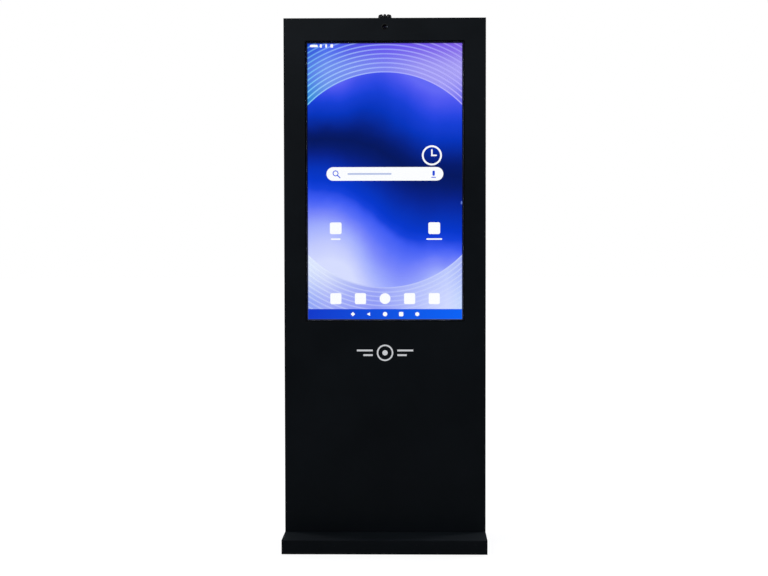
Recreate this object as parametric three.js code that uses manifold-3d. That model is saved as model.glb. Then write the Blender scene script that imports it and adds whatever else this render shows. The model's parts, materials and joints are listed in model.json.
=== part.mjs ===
// A free-standing touchscreen kiosk: a sheet-steel column with a portrait 43-inch touchscreen in its
// front, two lockable service doors at the back, and a wide ballast base on four levelling feet.
// Millimetres, +Z up. The origin is on the floor under the middle of the base; the screen faces -Y.
import * as THREE from "three";
import { mergeVertices } from "three/addons/utils/BufferGeometryUtils.js";
import Module from "manifold-3d";

const wasm = await Module();
wasm.setup();

// ---------------------------------------------------------------- driving dimensions
const GAP = 0.4; // play left between pieces that only rest against each other
const SHEET = 1.5; // steel sheet of the housing
const DOOR_SHEET = 1.2;

const BODY_W = 686;
const BODY_D = 110;
const BODY_TOP = 1800;
const BASE_D = 420;
const BASE_TOP = 50;
const SKIRT_Z = 3; // the base's skirt stops this far above the floor
const HALF_W = BODY_W / 2;
const FRONT_Y = -BODY_D / 2;
const REAR_Y = BODY_D / 2;
const COLUMN_Z = BASE_TOP + GAP;
const CEILING_Z = BODY_TOP - SHEET - GAP;

const COVER_D = 28; // depth of the front cover's folded edges
const COVER_BACK_Y = FRONT_Y + COVER_D;
const CHASSIS_Y = COVER_BACK_Y + GAP; // where the rear chassis begins

// The picture of a 43-inch panel, 16:9, stood on its end.
const PICTURE_W = 529.4;
const PICTURE_H = 941.2;
const PICTURE_Z = 1247; // height of its centre
const WINDOW_MARGIN = 5.8; // black border left visible round the picture
const TOUCH_FRAME_D = 9;
const GLASS_T = 4;
const PICTURE_T = 0.4;
const PANEL_T = 12;

// The doorways in the back; each door closes against a rebate.
const DOORWAY_X = 313;
const REBATE_Y = 38;
const LIP_W = 13;
const RAIL_MIDDLE = [760, 790];
const RAIL_BOTTOM_TOP = 130;
const RAIL_TOP_Z = 1768;
const DOOR_PLAY = 1.5;
const DOOR_FOLD = 15; // depth of a door's folded edges
const HINGE = { r: 4, h: 60, y: REAR_Y + 4.5, pinR: 2, boreR: 2.4, leaf: 26 };
const LOCK = { x: 280, r: 9.5, boreR: 7, plugR: 6.6, reach: 30 };

const UPRIGHT = { x: 130, w: 25, y1: -1.6 }; // two uprights carry the screen and the equipment
const FOOT = { x: 300, y: 170, padR: 22, padH: 8, stemR: 5, top: 46.5 };
const FAN = { z: 1680, size: 80, depth: 25, holeR: 38, rotorR: 36, hubR: 15, blades: 7 };
const SPEAKER = { y: 5.5, z: 640, size: 58 };
const INLET = { x: -230, z: 92, w: 44, h: 54 };
const BUTTON = { x: -165, z: 92, r: 8 };
const NETWORK = { x: -110, z: 92, w: 36, h: 46 };
const CAMERA = { y: -37, z: 1770 };
const KNOB = { y: -2, r: 23, h: 17, lobes: 8 };
const PLAYER = { w: 300, y1: 30, z: [1120, 1290] };
const SUPPLY = { x: [-140, -30], z: [400, 560], depth: 31 };

// ---------------------------------------------------------------- finishes
const finish = (color, roughness, metalness) =>
  new THREE.MeshStandardMaterial({ color, roughness, metalness });
const BLACK_STEEL = finish(0x101113, 0.55, 0.2);
const ZINC = finish(0xa9adb0, 0.38, 0.9);
const BLACK_PLASTIC = finish(0x0b0b0c, 0.45, 0);
const GREY_PLASTIC = finish(0x3a3c3f, 0.5, 0);
const RUBBER = finish(0x161616, 0.85, 0);
const CHROME = finish(0xd0d2d4, 0.15, 1);
const GLASS = finish(0x0a0c10, 0.05, 0);
const PICTURE = finish(0x1a3fe0, 0.3, 0);
const ALUMINIUM = finish(0xb8bbbe, 0.35, 0.9);

// ---------------------------------------------------------------- shape helpers
// A closed mesh as a manifold solid: only positions are kept, so that shared corners merge.
function solid(geometry) {
  const bare = geometry.clone();
  for (const name of Object.keys(bare.attributes)) {
    if (name !== "position") bare.deleteAttribute(name);
  }
  const merged = mergeVertices(bare, 1e-4);
  return new wasm.Manifold(
    new wasm.Mesh({
      numProp: 3,
      vertProperties: new Float32Array(merged.attributes.position.array),
      triVerts: new Uint32Array(merged.index.array),
    }),
  );
}

function geometryOf(manifold) {
  const mesh = manifold.getMesh();
  const corners = new Float32Array(mesh.numVert * 3);
  for (let i = 0; i < mesh.numVert; i++) {
    const at = i * mesh.numProp;
    corners.set(mesh.vertProperties.subarray(at, at + 3), i * 3);
  }
  return new THREE.BufferGeometry()
    .setAttribute("position", new THREE.BufferAttribute(corners, 3))
    .setIndex(new THREE.BufferAttribute(mesh.triVerts, 1));
}

const join = (...shapes) => geometryOf(shapes.map(solid).reduce((a, b) => a.add(b)));
const cut = (body, ...tools) =>
  geometryOf(tools.map(solid).reduce((a, b) => a.subtract(b), solid(body)));

const around = (middle, half) => [middle - half, middle + half];

// A box from its lowest to its highest corner.
function box([x0, x1], [y0, y1], [z0, z1]) {
  const shape = new THREE.BoxGeometry(x1 - x0, y1 - y0, z1 - z0);
  return shape.translate((x0 + x1) / 2, (y0 + y1) / 2, (z0 + z1) / 2);
}

// A round bar along an axis; u and v place it across that axis, in x, y, z order.
function bar(axis, radius, [from, to], [u, v] = [0, 0], sides = 16) {
  const shape = new THREE.CylinderGeometry(radius, radius, to - from, sides);
  const middle = (from + to) / 2;
  if (axis === "x") return shape.rotateZ(Math.PI / 2).translate(middle, u, v);
  if (axis === "y") return shape.translate(u, middle, v);
  return shape.rotateX(Math.PI / 2).translate(u, v, middle);
}

// An outline in x and y, raised from z0 to z1.
function raise(points, z0, z1) {
  const outline = new THREE.Shape(points.map(([x, y]) => new THREE.Vector2(x, y)));
  const shape = new THREE.ExtrudeGeometry(outline, { depth: z1 - z0, bevelEnabled: false });
  return shape.translate(0, 0, z0);
}

// A profile of [radius, height] turned about Z.
function turn(profile, sides = 20) {
  const points = profile.map(([r, h]) => new THREE.Vector2(r, h));
  return new THREE.LatheGeometry(points, sides).rotateX(Math.PI / 2);
}

// A lead along a smooth line through the points.
function lead(points, radius, steps) {
  const line = new THREE.CatmullRomCurve3(points.map((p) => new THREE.Vector3(...p)));
  const outline = new THREE.Shape();
  outline.absarc(0, 0, radius, 0, 2 * Math.PI, false);
  return new THREE.ExtrudeGeometry(outline, { steps, extrudePath: line, curveSegments: 4 });
}

// The same solid on the other side of the middle plane, with its faces turned back outwards.
function mirrored(geometry) {
  const copy = geometry.clone().scale(-1, 1, 1);
  const order = copy.index.array;
  for (let i = 0; i < order.length; i += 3) {
    [order[i + 1], order[i + 2]] = [order[i + 2], order[i + 1]];
  }
  return copy;
}

function assembly(parent, x, y, z) {
  const group = new THREE.Group();
  group.position.set(x, y, z);
  parent.add(group);
  return group;
}

function piece(parent, name, geometry, material) {
  const mesh = new THREE.Mesh(geometry, material);
  mesh.name = name;
  parent.add(mesh);
  return mesh;
}

const kiosk = new THREE.Group();
const SIDES = { left: -1, right: 1 };
const ENDS = { front: -1, rear: 1 };

// ---------------------------------------------------------------- base
// A thick plate, with a nut welded under each corner for a levelling foot.
function basePlate() {
  const plateZ = [40, BASE_TOP - SHEET - GAP];
  const plate = box(around(0, HALF_W - 5), around(0, BASE_D / 2 - 5), plateZ);
  const corners = [-1, 1].flatMap((a) => [-1, 1].map((b) => [a * FOOT.x, b * FOOT.y]));
  const nut = new THREE.CylinderGeometry(9.8, 9.8, 10.5, 6).rotateX(Math.PI / 2);
  const nuts = corners.map(([x, y]) => nut.clone().translate(x, y, 35.25));
  const threads = corners.map((at) => bar("z", FOOT.stemR + GAP, [25, 60], at, 12));
  return cut(join(plate, ...nuts), ...threads);
}

function baseCover() {
  const outer = box(around(0, HALF_W), around(0, BASE_D / 2), [SKIRT_Z, BASE_TOP]);
  const inner = box(around(0, HALF_W - SHEET), around(0, BASE_D / 2 - SHEET), [-1, BASE_TOP - SHEET]);
  return cut(outer, inner);
}

function levellingFoot() {
  const { padR, padH, stemR, top } = FOOT;
  const pad = [
    [0, 0],
    [padR - 1.5, 0],
    [padR, 1.5],
    [padR - 2, padH - 3],
    [9, padH],
  ];
  const stem = [
    [stemR, padH],
    [stemR, top],
    [0, top],
  ];
  return turn([...pad, ...stem], 16);
}

piece(kiosk, "base_plate", basePlate(), ZINC);
piece(kiosk, "base_cover", baseCover(), BLACK_STEEL);
for (const [side, sx] of Object.entries(SIDES)) {
  for (const [end, sy] of Object.entries(ENDS)) {
    const foot = piece(kiosk, `foot_${end}_${side}`, levellingFoot(), RUBBER);
    foot.position.set(sx * FOOT.x, sy * FOOT.y, 0);
  }
}

// ---------------------------------------------------------------- housing
function frontCover() {
  const outer = box(around(0, HALF_W), [FRONT_Y, COVER_BACK_Y], [COLUMN_Z, BODY_TOP]);
  const inner = box(
    around(0, HALF_W - SHEET),
    [FRONT_Y + SHEET, COVER_BACK_Y + 5],
    [COLUMN_Z + SHEET, BODY_TOP - SHEET],
  );
  const window = box(
    around(0, PICTURE_W / 2 + WINDOW_MARGIN),
    [FRONT_Y - 5, REAR_Y],
    around(PICTURE_Z, PICTURE_H / 2 + WINDOW_MARGIN),
  );
  const peephole = bar("y", 9.5, [FRONT_Y - 5, FRONT_Y + 6], [0, CAMERA.z], 24);
  return cut(outer, inner, window, peephole);
}

// The side's folded section: a front flange, the outer wall, a rear flange, the rebate and its lip.
function rightSidePanel() {
  const wall = HALF_W - SHEET;
  const section = [
    [HALF_W - 22, CHASSIS_Y],
    [HALF_W, CHASSIS_Y],
    [HALF_W, REAR_Y],
    [DOORWAY_X, REAR_Y],
    [DOORWAY_X, REBATE_Y],
    [DOORWAY_X - LIP_W, REBATE_Y],
    [DOORWAY_X - LIP_W, REBATE_Y - SHEET],
    [DOORWAY_X + SHEET, REBATE_Y - SHEET],
    [DOORWAY_X + SHEET, REAR_Y - SHEET],
    [wall, REAR_Y - SHEET],
    [wall, CHASSIS_Y + SHEET],
    [HALF_W - 22, CHASSIS_Y + SHEET],
  ];
  const panel = raise(section, COLUMN_Z, CEILING_Z);
  const speakerSlots = Array.from({ length: 7 }, (_, i) =>
    box([wall - 1, HALF_W + 1], around(SPEAKER.y, 20), around(SPEAKER.z + (i - 3) * 7, 1.5)),
  );
  return cut(panel, ...speakerSlots);
}

const RAIL_X = around(0, DOORWAY_X - GAP);
const RAIL_FACE_Y = [REAR_Y - SHEET, REAR_Y];
const RAIL_REBATE_Y = [REBATE_Y + GAP, REAR_Y];

function topPanel() {
  const sheet = box(around(0, HALF_W), [CHASSIS_Y, REAR_Y], [BODY_TOP - SHEET, BODY_TOP]);
  const flange = box(RAIL_X, RAIL_FACE_Y, [RAIL_TOP_Z, BODY_TOP - SHEET]);
  const rebate = box(RAIL_X, RAIL_REBATE_Y, [RAIL_TOP_Z, RAIL_TOP_Z + SHEET]);
  const studHole = bar("z", 4.4, [BODY_TOP - 10, BODY_TOP + 5], [0, KNOB.y]);
  return cut(join(sheet, flange, rebate), studHole);
}

function middleRail() {
  const [low, high] = RAIL_MIDDLE;
  const channel = box(RAIL_X, RAIL_REBATE_Y, [low, high]);
  const hollow = box(around(0, HALF_W), [0, REAR_Y - SHEET], [low + SHEET, high - SHEET]);
  return cut(channel, hollow);
}

function bottomRail() {
  const face = box(RAIL_X, RAIL_FACE_Y, [COLUMN_Z, RAIL_BOTTOM_TOP]);
  const rebate = box(RAIL_X, RAIL_REBATE_Y, [RAIL_BOTTOM_TOP - SHEET, RAIL_BOTTOM_TOP]);
  const through = around(REAR_Y, 10);
  return cut(
    join(face, rebate),
    box(around(INLET.x, INLET.w / 2 + GAP), through, around(INLET.z, INLET.h / 2 + GAP)),
    bar("y", BUTTON.r + GAP, through, [BUTTON.x, BUTTON.z]),
    box(around(NETWORK.x, 10 + GAP), through, around(NETWORK.z, 9 + GAP)),
  );
}

function columnFloor() {
  const floor = box(
    around(0, HALF_W - SHEET - GAP),
    [CHASSIS_Y + SHEET + GAP, REAR_Y - SHEET - GAP],
    [COLUMN_Z, COLUMN_Z + SHEET],
  );
  const lipMiddle = DOORWAY_X - (LIP_W - SHEET) / 2;
  const lipNotches = [-1, 1].map((sx) =>
    box(around(sx * lipMiddle, 8), [REBATE_Y - SHEET - GAP, REAR_Y], [40, 60]),
  );
  return cut(floor, ...lipNotches);
}

piece(kiosk, "front_cover", frontCover(), BLACK_STEEL);
piece(kiosk, "side_panel_left", mirrored(rightSidePanel()), BLACK_STEEL);
piece(kiosk, "side_panel_right", rightSidePanel(), BLACK_STEEL);
piece(kiosk, "top_panel", topPanel(), BLACK_STEEL);
piece(kiosk, "rear_rail_middle", middleRail(), BLACK_STEEL);
piece(kiosk, "rear_rail_bottom", bottomRail(), BLACK_STEEL);
piece(kiosk, "column_floor", columnFloor(), ZINC);

// ---------------------------------------------------------------- screen
// From the front: the infrared touch frame, the glass, the lit picture, the panel, the uprights.
const TOUCH_Y = FRONT_Y + SHEET + 0.3;
const GLASS_Y = TOUCH_Y + TOUCH_FRAME_D + GAP;
const PICTURE_Y = GLASS_Y + GLASS_T + 0.3;
const PANEL_Y = PICTURE_Y + PICTURE_T + 0.3;
const UPRIGHT_Y = PANEL_Y + PANEL_T + GAP;

// A slab round the picture: how far it reaches past the picture, and its span in depth.
function screenSlab(mx, mz, from, depth) {
  return box(around(0, PICTURE_W / 2 + mx), [from, from + depth], around(0, PICTURE_H / 2 + mz));
}

function upright(x) {
  const z = [COLUMN_Z + SHEET + GAP, CEILING_Z - 5];
  const channel = box(around(x, UPRIGHT.w / 2), [UPRIGHT_Y, UPRIGHT.y1], z);
  const hollow = box(around(x, UPRIGHT.w / 2 - 2), [UPRIGHT_Y - 5, UPRIGHT.y1 - 2], [20, BODY_TOP]);
  return cut(channel, hollow);
}

const screen = assembly(kiosk, 0, 0, PICTURE_Z);
const touchFrame = cut(
  screenSlab(29, 30, TOUCH_Y, TOUCH_FRAME_D),
  screenSlab(2.8, 2.8, TOUCH_Y - 5, TOUCH_FRAME_D + 10),
);
piece(screen, "ir_touch_frame", touchFrame, BLACK_PLASTIC);
piece(screen, "touch_glass", screenSlab(25, 26, GLASS_Y, GLASS_T), GLASS);
piece(screen, "screen_picture", screenSlab(0, 0, PICTURE_Y, PICTURE_T), PICTURE);
piece(screen, "screen_panel", screenSlab(13.3, 13.4, PANEL_Y, PANEL_T), ZINC);
for (const [side, sx] of Object.entries(SIDES)) {
  piece(kiosk, `upright_${side}`, upright(sx * UPRIGHT.x), ZINC);
}

// ---------------------------------------------------------------- camera above the screen
// All of this is measured from the axis that the camera tilts about.
function cameraBody() {
  const block = box(around(0, 19), [-12, 20], around(0, 13));
  const barrel = bar("y", 6.5, [-14.2, -11], [0, 0], 20);
  const trunnion = bar("x", 2, [-22.6, 22.6], [0, 0], 12);
  const lensSeat = bar("y", 4.9, [-20, -12.2], [0, 0], 20);
  return cut(join(block, barrel, trunnion), lensSeat);
}

function cameraLens() {
  const profile = [
    [0, 0],
    [4.5, 0],
    [4.5, 0.6],
    [3.2, 1.1],
    [0, 1.4],
  ];
  return turn(profile).rotateX(Math.PI / 2).translate(0, -12.5, 0);
}

function cameraBracket() {
  const top = CEILING_Z - CAMERA.z;
  const plate = box(around(0, 22.2), [-9, 59], [top - 3, top]);
  const arms = [-1, 1].map((sx) => box(around(sx * 21.2, 1), [-9, 15], [-10, top - 1]));
  const pivotHole = bar("x", 2.4, [-30, 30], [0, 0], 12);
  const studHole = bar("z", 4.4, [top - 10, top + 5], [0, KNOB.y - CAMERA.y]);
  return cut(join(plate, ...arms), pivotHole, studHole);
}

// A low lobed knob with a domed top; its stud goes down through the top panel into the bracket.
function clampKnob() {
  const { r, h, lobes } = KNOB;
  const profile = [
    [0, 0],
    [r - 2.5, 0],
    [r - 0.4, 2],
    [r - 0.2, 7],
    [r - 3.4, 11],
    [r - 6, 14.5],
    [r - 9.5, h - 0.6],
    [r - 12, h],
    [0, h],
  ];
  const blank = turn(profile, lobes * 8);
  const at = blank.attributes.position;
  for (let i = 0; i < at.count; i++) {
    const angle = Math.atan2(at.getY(i), at.getX(i));
    const swell = 1 + 0.055 * (Math.cos(lobes * angle) - 1);
    at.setXY(i, at.getX(i) * swell, at.getY(i) * swell);
  }
  return join(blank, bar("z", 4, [-13, 2], [0, 0], 12));
}

const camera = assembly(kiosk, 0, CAMERA.y, CAMERA.z);
piece(camera, "camera_bracket", cameraBracket(), ZINC);
piece(camera, "camera_body", cameraBody(), BLACK_PLASTIC);
piece(camera, "camera_lens", cameraLens(), GLASS);
const knob = piece(kiosk, "camera_clamp_knob", clampKnob(), BLACK_PLASTIC);
knob.position.set(0, KNOB.y, BODY_TOP + GAP);

// ---------------------------------------------------------------- service doors
// Each door is a shallow folded tray with louvres; rows are counted up from their lowest height.
const DOORS = {
  upper: {
    span: [RAIL_MIDDLE[1] + DOOR_PLAY, RAIL_TOP_Z - DOOR_PLAY],
    louvres: [
      { z: 1625, rows: 10 },
      { z: 840, rows: 6 },
    ],
  },
  lower: {
    span: [RAIL_BOTTOM_TOP + DOOR_PLAY, RAIL_MIDDLE[0] - DOOR_PLAY],
    louvres: [
      { z: 640, rows: 5 },
      { z: 180, rows: 7 },
    ],
  },
};
const LOUVRE = { w: 110, h: 5, pitch: 12 };

function louvres({ z, rows }) {
  const heights = Array.from({ length: rows }, (_, i) => z + i * LOUVRE.pitch);
  return [-1, 1].flatMap((sx) =>
    heights.map((height) =>
      box(around(sx * UPRIGHT.x, LOUVRE.w / 2), around(REAR_Y, 5), around(height, LOUVRE.h / 2)),
    ),
  );
}

function door({ span: [low, high], louvres: groups }) {
  const half = DOORWAY_X - DOOR_PLAY;
  const tray = box(around(0, half), [REAR_Y - DOOR_FOLD, REAR_Y], [low, high]);
  const hollow = box(
    around(0, half - DOOR_SHEET),
    [0, REAR_Y - DOOR_SHEET],
    [low + DOOR_SHEET, high - DOOR_SHEET],
  );
  const lockHole = bar("y", LOCK.r + GAP, around(REAR_Y, 10), [LOCK.x, (low + high) / 2], 20);
  return cut(tray, hollow, lockHole, ...groups.flatMap(louvres));
}

// One leaf of a butt hinge with its share of three knuckles, measured from the pin's middle.
// sx is -1 for the leaf on the housing and 1 for the leaf on the door.
function hingeLeaf(sx, knuckles) {
  const { r, h, y, boreR, leaf } = HINGE;
  const flat = [REAR_Y + 0.3 - y, REAR_Y + 2.3 - y];
  const side = (near, far) => [sx * near, sx * far].sort((a, b) => a - b);
  const curls = knuckles.flatMap((k) => {
    const span = around((k - 1) * (h / 3), h / 6 - GAP / 2);
    return [box(side(0, r + 2), flat, span), bar("z", r, span)];
  });
  const plate = box(side(r + 1, leaf), flat, around(0, h / 2));
  return cut(join(plate, ...curls), bar("z", boreR, [-h, h], [0, 0], 12));
}

function hingePin() {
  const end = HINGE.h / 2;
  const shaft = bar("z", HINGE.pinR, around(0, end + 1), [0, 0], 12);
  const heads = [-1, 1].map((up) => bar("z", 3.2, around(up * (end + 1.2), 0.8), [0, 0], 12));
  return join(shaft, ...heads);
}

// Cam lock, measured from the outer face of the door. The barrel is held by a nut; the plug and the
// cam turn together. The cam clears the back of the lip when it is turned under it.
const LIP_BACK = REBATE_Y - SHEET - REAR_Y;

function lockBarrel() {
  const flange = bar("y", 12, [0.3, 2.8], [0, 0], 24);
  const barrel = bar("y", LOCK.r, [LIP_BACK + 0.2, 1], [0, 0], 20);
  const nut = new THREE.CylinderGeometry(14, 14, 4, 6).translate(0, -DOOR_SHEET - 2.4, 0);
  return cut(join(flange, barrel, nut), bar("y", LOCK.boreR, [-50, 50], [0, 0], 20));
}

function lockPlug() {
  const plug = bar("y", LOCK.plugR, [LIP_BACK - 0.1, 2.4], [0, 0], 20);
  return cut(plug, box(around(0, 0.9), [-2, 5], around(0, 4)));
}

function lockCam() {
  const y = [LIP_BACK - 2.4, LIP_BACK - GAP];
  return join(bar("y", 9, y, [0, 0], 20), box(around(0, 6.5), y, [-LOCK.reach, 0]));
}

for (const [name, spec] of Object.entries(DOORS)) {
  const [low, high] = spec.span;
  piece(kiosk, `${name}_door`, door(spec), BLACK_STEEL);

  const lock = assembly(kiosk, LOCK.x, REAR_Y, (low + high) / 2);
  piece(lock, `${name}_lock_barrel`, lockBarrel(), CHROME);
  piece(lock, `${name}_lock_plug`, lockPlug(), CHROME);
  piece(lock, `${name}_lock_cam`, lockCam(), ZINC);

  for (const [end, z] of Object.entries({ top: high - 90, bottom: low + 90 })) {
    const hinge = assembly(kiosk, -DOORWAY_X, HINGE.y, z);
    piece(hinge, `${name}_hinge_${end}_frame_leaf`, hingeLeaf(-1, [0, 2]), BLACK_STEEL);
    piece(hinge, `${name}_hinge_${end}_door_leaf`, hingeLeaf(1, [1]), BLACK_STEEL);
    piece(hinge, `${name}_hinge_${end}_pin`, hingePin(), ZINC);
  }
}

// ---------------------------------------------------------------- cooling fans
// Measured from the middle of the face that is bolted to the upright.
function fanHousing() {
  const { size, depth, holeR, hubR } = FAN;
  const block = box(around(0, size / 2), [0, depth], around(0, size / 2));
  const duct = bar("y", holeR, [-10, depth + 10], [0, 0], 28);
  const strutY = [depth - 2.5, depth];
  return join(
    cut(block, duct),
    box(around(0, size / 2 - 1), strutY, around(0, 2)),
    box(around(0, 2), strutY, around(0, size / 2 - 1)),
    bar("y", hubR + 1, strutY),
  );
}

function fanRotor() {
  const { depth, rotorR, hubR, blades } = FAN;
  const span = [2, depth - 4];
  const root = hubR - 2;
  const blade = new THREE.BoxGeometry(rotorR - root, 1.6, 20)
    .translate((rotorR + root) / 2, 0, 0)
    .rotateX(0.65);
  const fanned = Array.from({ length: blades }, (_, i) =>
    blade
      .clone()
      .rotateY((i * 2 * Math.PI) / blades)
      .translate(0, (span[0] + span[1]) / 2, 0),
  );
  return join(bar("y", hubR, span), ...fanned);
}

for (const [side, sx] of Object.entries(SIDES)) {
  const fan = assembly(kiosk, sx * UPRIGHT.x, UPRIGHT.y1 + 0.3, FAN.z);
  piece(fan, `fan_housing_${side}`, fanHousing(), BLACK_PLASTIC);
  piece(fan, `fan_rotor_${side}`, fanRotor(), BLACK_PLASTIC);
}

// ---------------------------------------------------------------- speakers behind the side slots
// Measured from the face that is screwed to the side panel, which looks along +X.
function speaker() {
  const along = (shape, x) => shape.rotateZ(-Math.PI / 2).translate(x, 0, 0);
  const flange = box([-3, 0], around(0, SPEAKER.size / 2), around(0, SPEAKER.size / 2));
  const basket = along(new THREE.CylinderGeometry(26, 17, 18, 20), -11);
  const magnet = bar("x", 20, [-32, -19], [0, 0], 20);
  const cone = along(new THREE.CylinderGeometry(23, 9, 9, 20), -4);
  return cut(join(flange, basket, magnet), cone);
}

for (const [side, sx] of Object.entries(SIDES)) {
  const mesh = piece(kiosk, `speaker_${side}`, speaker(), BLACK_PLASTIC);
  mesh.position.set(sx * (HALF_W - SHEET - GAP), SPEAKER.y, SPEAKER.z);
  mesh.rotation.z = sx > 0 ? 0 : Math.PI;
}

// ---------------------------------------------------------------- connections in the bottom rail
// Each is measured from the rail's outer face.
const ROCKER_Z = 17;
const FUSE_Z = 3.5;
const SOCKET_Z = -14;
const ROCKER_TILT = THREE.MathUtils.degToRad(7);

function mainsInlet() {
  const { w, h } = INLET;
  const body = box(around(0, w / 2), [-31, 1], around(0, h / 2));
  const flange = box(around(0, w / 2 + 3), [0.3, 2.3], around(0, h / 2 + 4));
  const wells = [
    box(around(0, 10.8), [-13, 15], around(ROCKER_Z, 7.2)),
    box(around(0, 12.4), [-21, 15], around(FUSE_Z, 3.4)),
    box(around(0, 13), [-15, 15], around(SOCKET_Z, 9)),
  ];
  const blades = [-7, 0, 7].map((x) =>
    box(around(x, 1), [-16, -3], around(SOCKET_Z + (x === 0 ? 3 : -2), 2)),
  );
  return join(cut(join(body, flange), ...wells), ...blades);
}

// Two faces meet in a shallow valley, and one end stands out. It rocks about X.
function rockerSwitch() {
  const profile = [
    [-3, -5.8],
    [4.8, -5.8],
    [3.8, 0],
    [4.8, 5.8],
    [-3, 5.8],
    [-5, 0],
  ];
  return raise(profile, -10, 10)
    .rotateY(Math.PI / 2)
    .rotateX(Math.PI / 2 + ROCKER_TILT);
}

function fuseDrawer() {
  const front = box(around(0, 11.8), [-1, 2.6], around(FUSE_Z, 2.9));
  const tray = box(around(0, 10), [-19, 0], around(FUSE_Z, 2.4));
  return join(front, tray);
}

function startButtonRing() {
  const ring = bar("y", BUTTON.r + 2, [0.3, 2.3], [0, 0], 24);
  const barrel = bar("y", BUTTON.r, [-21, 1], [0, 0], 24);
  return cut(join(ring, barrel), bar("y", BUTTON.r - 1.7, [-8, 20], [0, 0], 24));
}

function networkSocket() {
  const plate = box(around(0, NETWORK.w / 2), [0.3, 2.3], around(0, NETWORK.h / 2));
  const body = box(around(0, 10), [-23, 1], around(0, 9));
  return cut(join(plate, body), box(around(0, 5.9), [-9, 20], around(0, 4.1)));
}

const inlet = assembly(kiosk, INLET.x, REAR_Y, INLET.z);
piece(inlet, "mains_inlet", mainsInlet(), BLACK_PLASTIC);
piece(inlet, "fuse_drawer", fuseDrawer(), GREY_PLASTIC);
piece(inlet, "rocker_switch", rockerSwitch(), BLACK_PLASTIC).position.set(0, -1.5, ROCKER_Z);

const start = assembly(kiosk, BUTTON.x, REAR_Y, BUTTON.z);
piece(start, "start_button_ring", startButtonRing(), CHROME);
piece(start, "start_button", bar("y", BUTTON.r - 2.1, [-5, 2], [0, 0], 24), ALUMINIUM);

const network = assembly(kiosk, NETWORK.x, REAR_Y, NETWORK.z);
piece(network, "network_socket", networkSocket(), BLACK_PLASTIC);

// ---------------------------------------------------------------- equipment on the uprights
const MOUNT_Y = UPRIGHT.y1 + 0.3;
const PLATE_T = 2;

function mediaPlayer() {
  const { w, y1, z } = PLAYER;
  const fins = 12;
  const pitch = (w - 36) / (fins - 1);
  const body = box(around(0, w / 2), [MOUNT_Y, y1 - 3], z);
  const ribs = Array.from({ length: fins }, (_, i) =>
    box(around((i - (fins - 1) / 2) * pitch, 4), [y1 - 5, y1], [z[0] + 6, z[1] - 6]),
  );
  return join(body, ...ribs);
}

const plateTop = MOUNT_Y + PLATE_T;
const plateZ = [SUPPLY.z[0] - 70, SUPPLY.z[1] + 40];
const supplyY = [plateTop + 0.3, plateTop + SUPPLY.depth];
piece(kiosk, "equipment_plate", box(around(0, 155), [MOUNT_Y, plateTop], plateZ), ZINC);
piece(kiosk, "media_player", mediaPlayer(), ALUMINIUM);
piece(kiosk, "power_supply", box(SUPPLY.x, supplyY, SUPPLY.z), ALUMINIUM);

// ---------------------------------------------------------------- wiring
const MAINS_ROUTE = [
  [INLET.x, 23.6, 84],
  [INLET.x, 14, 84],
  [-224, 7, 118],
  [-200, 8, 220],
  [-145, 12, 312],
  [-96, 17, 352],
  [-85, 17, 378],
  [-85, 17, SUPPLY.z[0] - GAP],
];
piece(kiosk, "mains_lead", lead(MAINS_ROUTE, 3.5, 30), BLACK_PLASTIC);

// The loom: a trunk beside the left upright, with a branch to each thing that it feeds.
const TRUNK_X = -172;
const TRUNK = [
  [-85, 17, SUPPLY.z[1] + GAP],
  [-85, 17, 585],
  [-115, 14, 635],
  [-158, 9, 688],
  [TRUNK_X, 8, 740],
  [TRUNK_X, 8, 800],
  [TRUNK_X, 8, 1000],
  [TRUNK_X, 8, 1300],
  [TRUNK_X, 8, 1560],
  [-156, 8, 1610],
  [-150, 8, 1628],
  [-150, 8, FAN.z - FAN.size / 2 - GAP],
];
const BRANCHES = {
  speaker_left: [
    [TRUNK_X, 8, 740],
    [-196, 8, 704],
    [-250, 6, 652],
    [-290, SPEAKER.y, SPEAKER.z],
    [-308.7, SPEAKER.y, SPEAKER.z],
  ],
  speaker_right: [
    [TRUNK_X, 8, 800],
    [-146, 8, 730],
    [-60, 8, 702],
    [60, 8, 702],
    [180, 8, 702],
    [250, 7, 668],
    [290, SPEAKER.y, SPEAKER.z],
    [308.7, SPEAKER.y, SPEAKER.z],
  ],
  screen: [
    [TRUNK_X, 8, 900],
    [-176, 4, 926],
    [-186, -10, 944],
    [-190, -18, 950],
    [-190, UPRIGHT_Y, 950],
  ],
  player: [
    [TRUNK_X, 8, 1150],
    [-171, 9, 1172],
    [-166, 11, 1190],
    [-160, 12, 1200],
    [-PLAYER.w / 2 - GAP, 12, 1200],
  ],
  fan_right: [
    [TRUNK_X, 8, 1520],
    [-140, 8, 1562],
    [-60, 8, 1582],
    [60, 8, 1588],
    [136, 8, 1596],
    [150, 8, 1618],
    [150, 8, FAN.z - FAN.size / 2 - GAP],
  ],
};
const branches = Object.values(BRANCHES).map((route) => lead(route, 2.2, route.length * 3));
piece(kiosk, "wiring_loom", join(lead(TRUNK, 4, 40), ...branches), BLACK_PLASTIC);

export default kiosk;
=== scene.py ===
# %% [markdown]
# # Touchscreen kiosk
# The kiosk is a slim steel column with a portrait touchscreen, standing on a low, wide base. Its solids
# come from the CAD model as a fixed frame. This lesson gives each of them a finish, and adds what a CAD
# model leaves out: pressed louvre hoods, screws, seals, circuit boards, clips, the printed symbol and
# everything that is lit on the screen.

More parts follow.
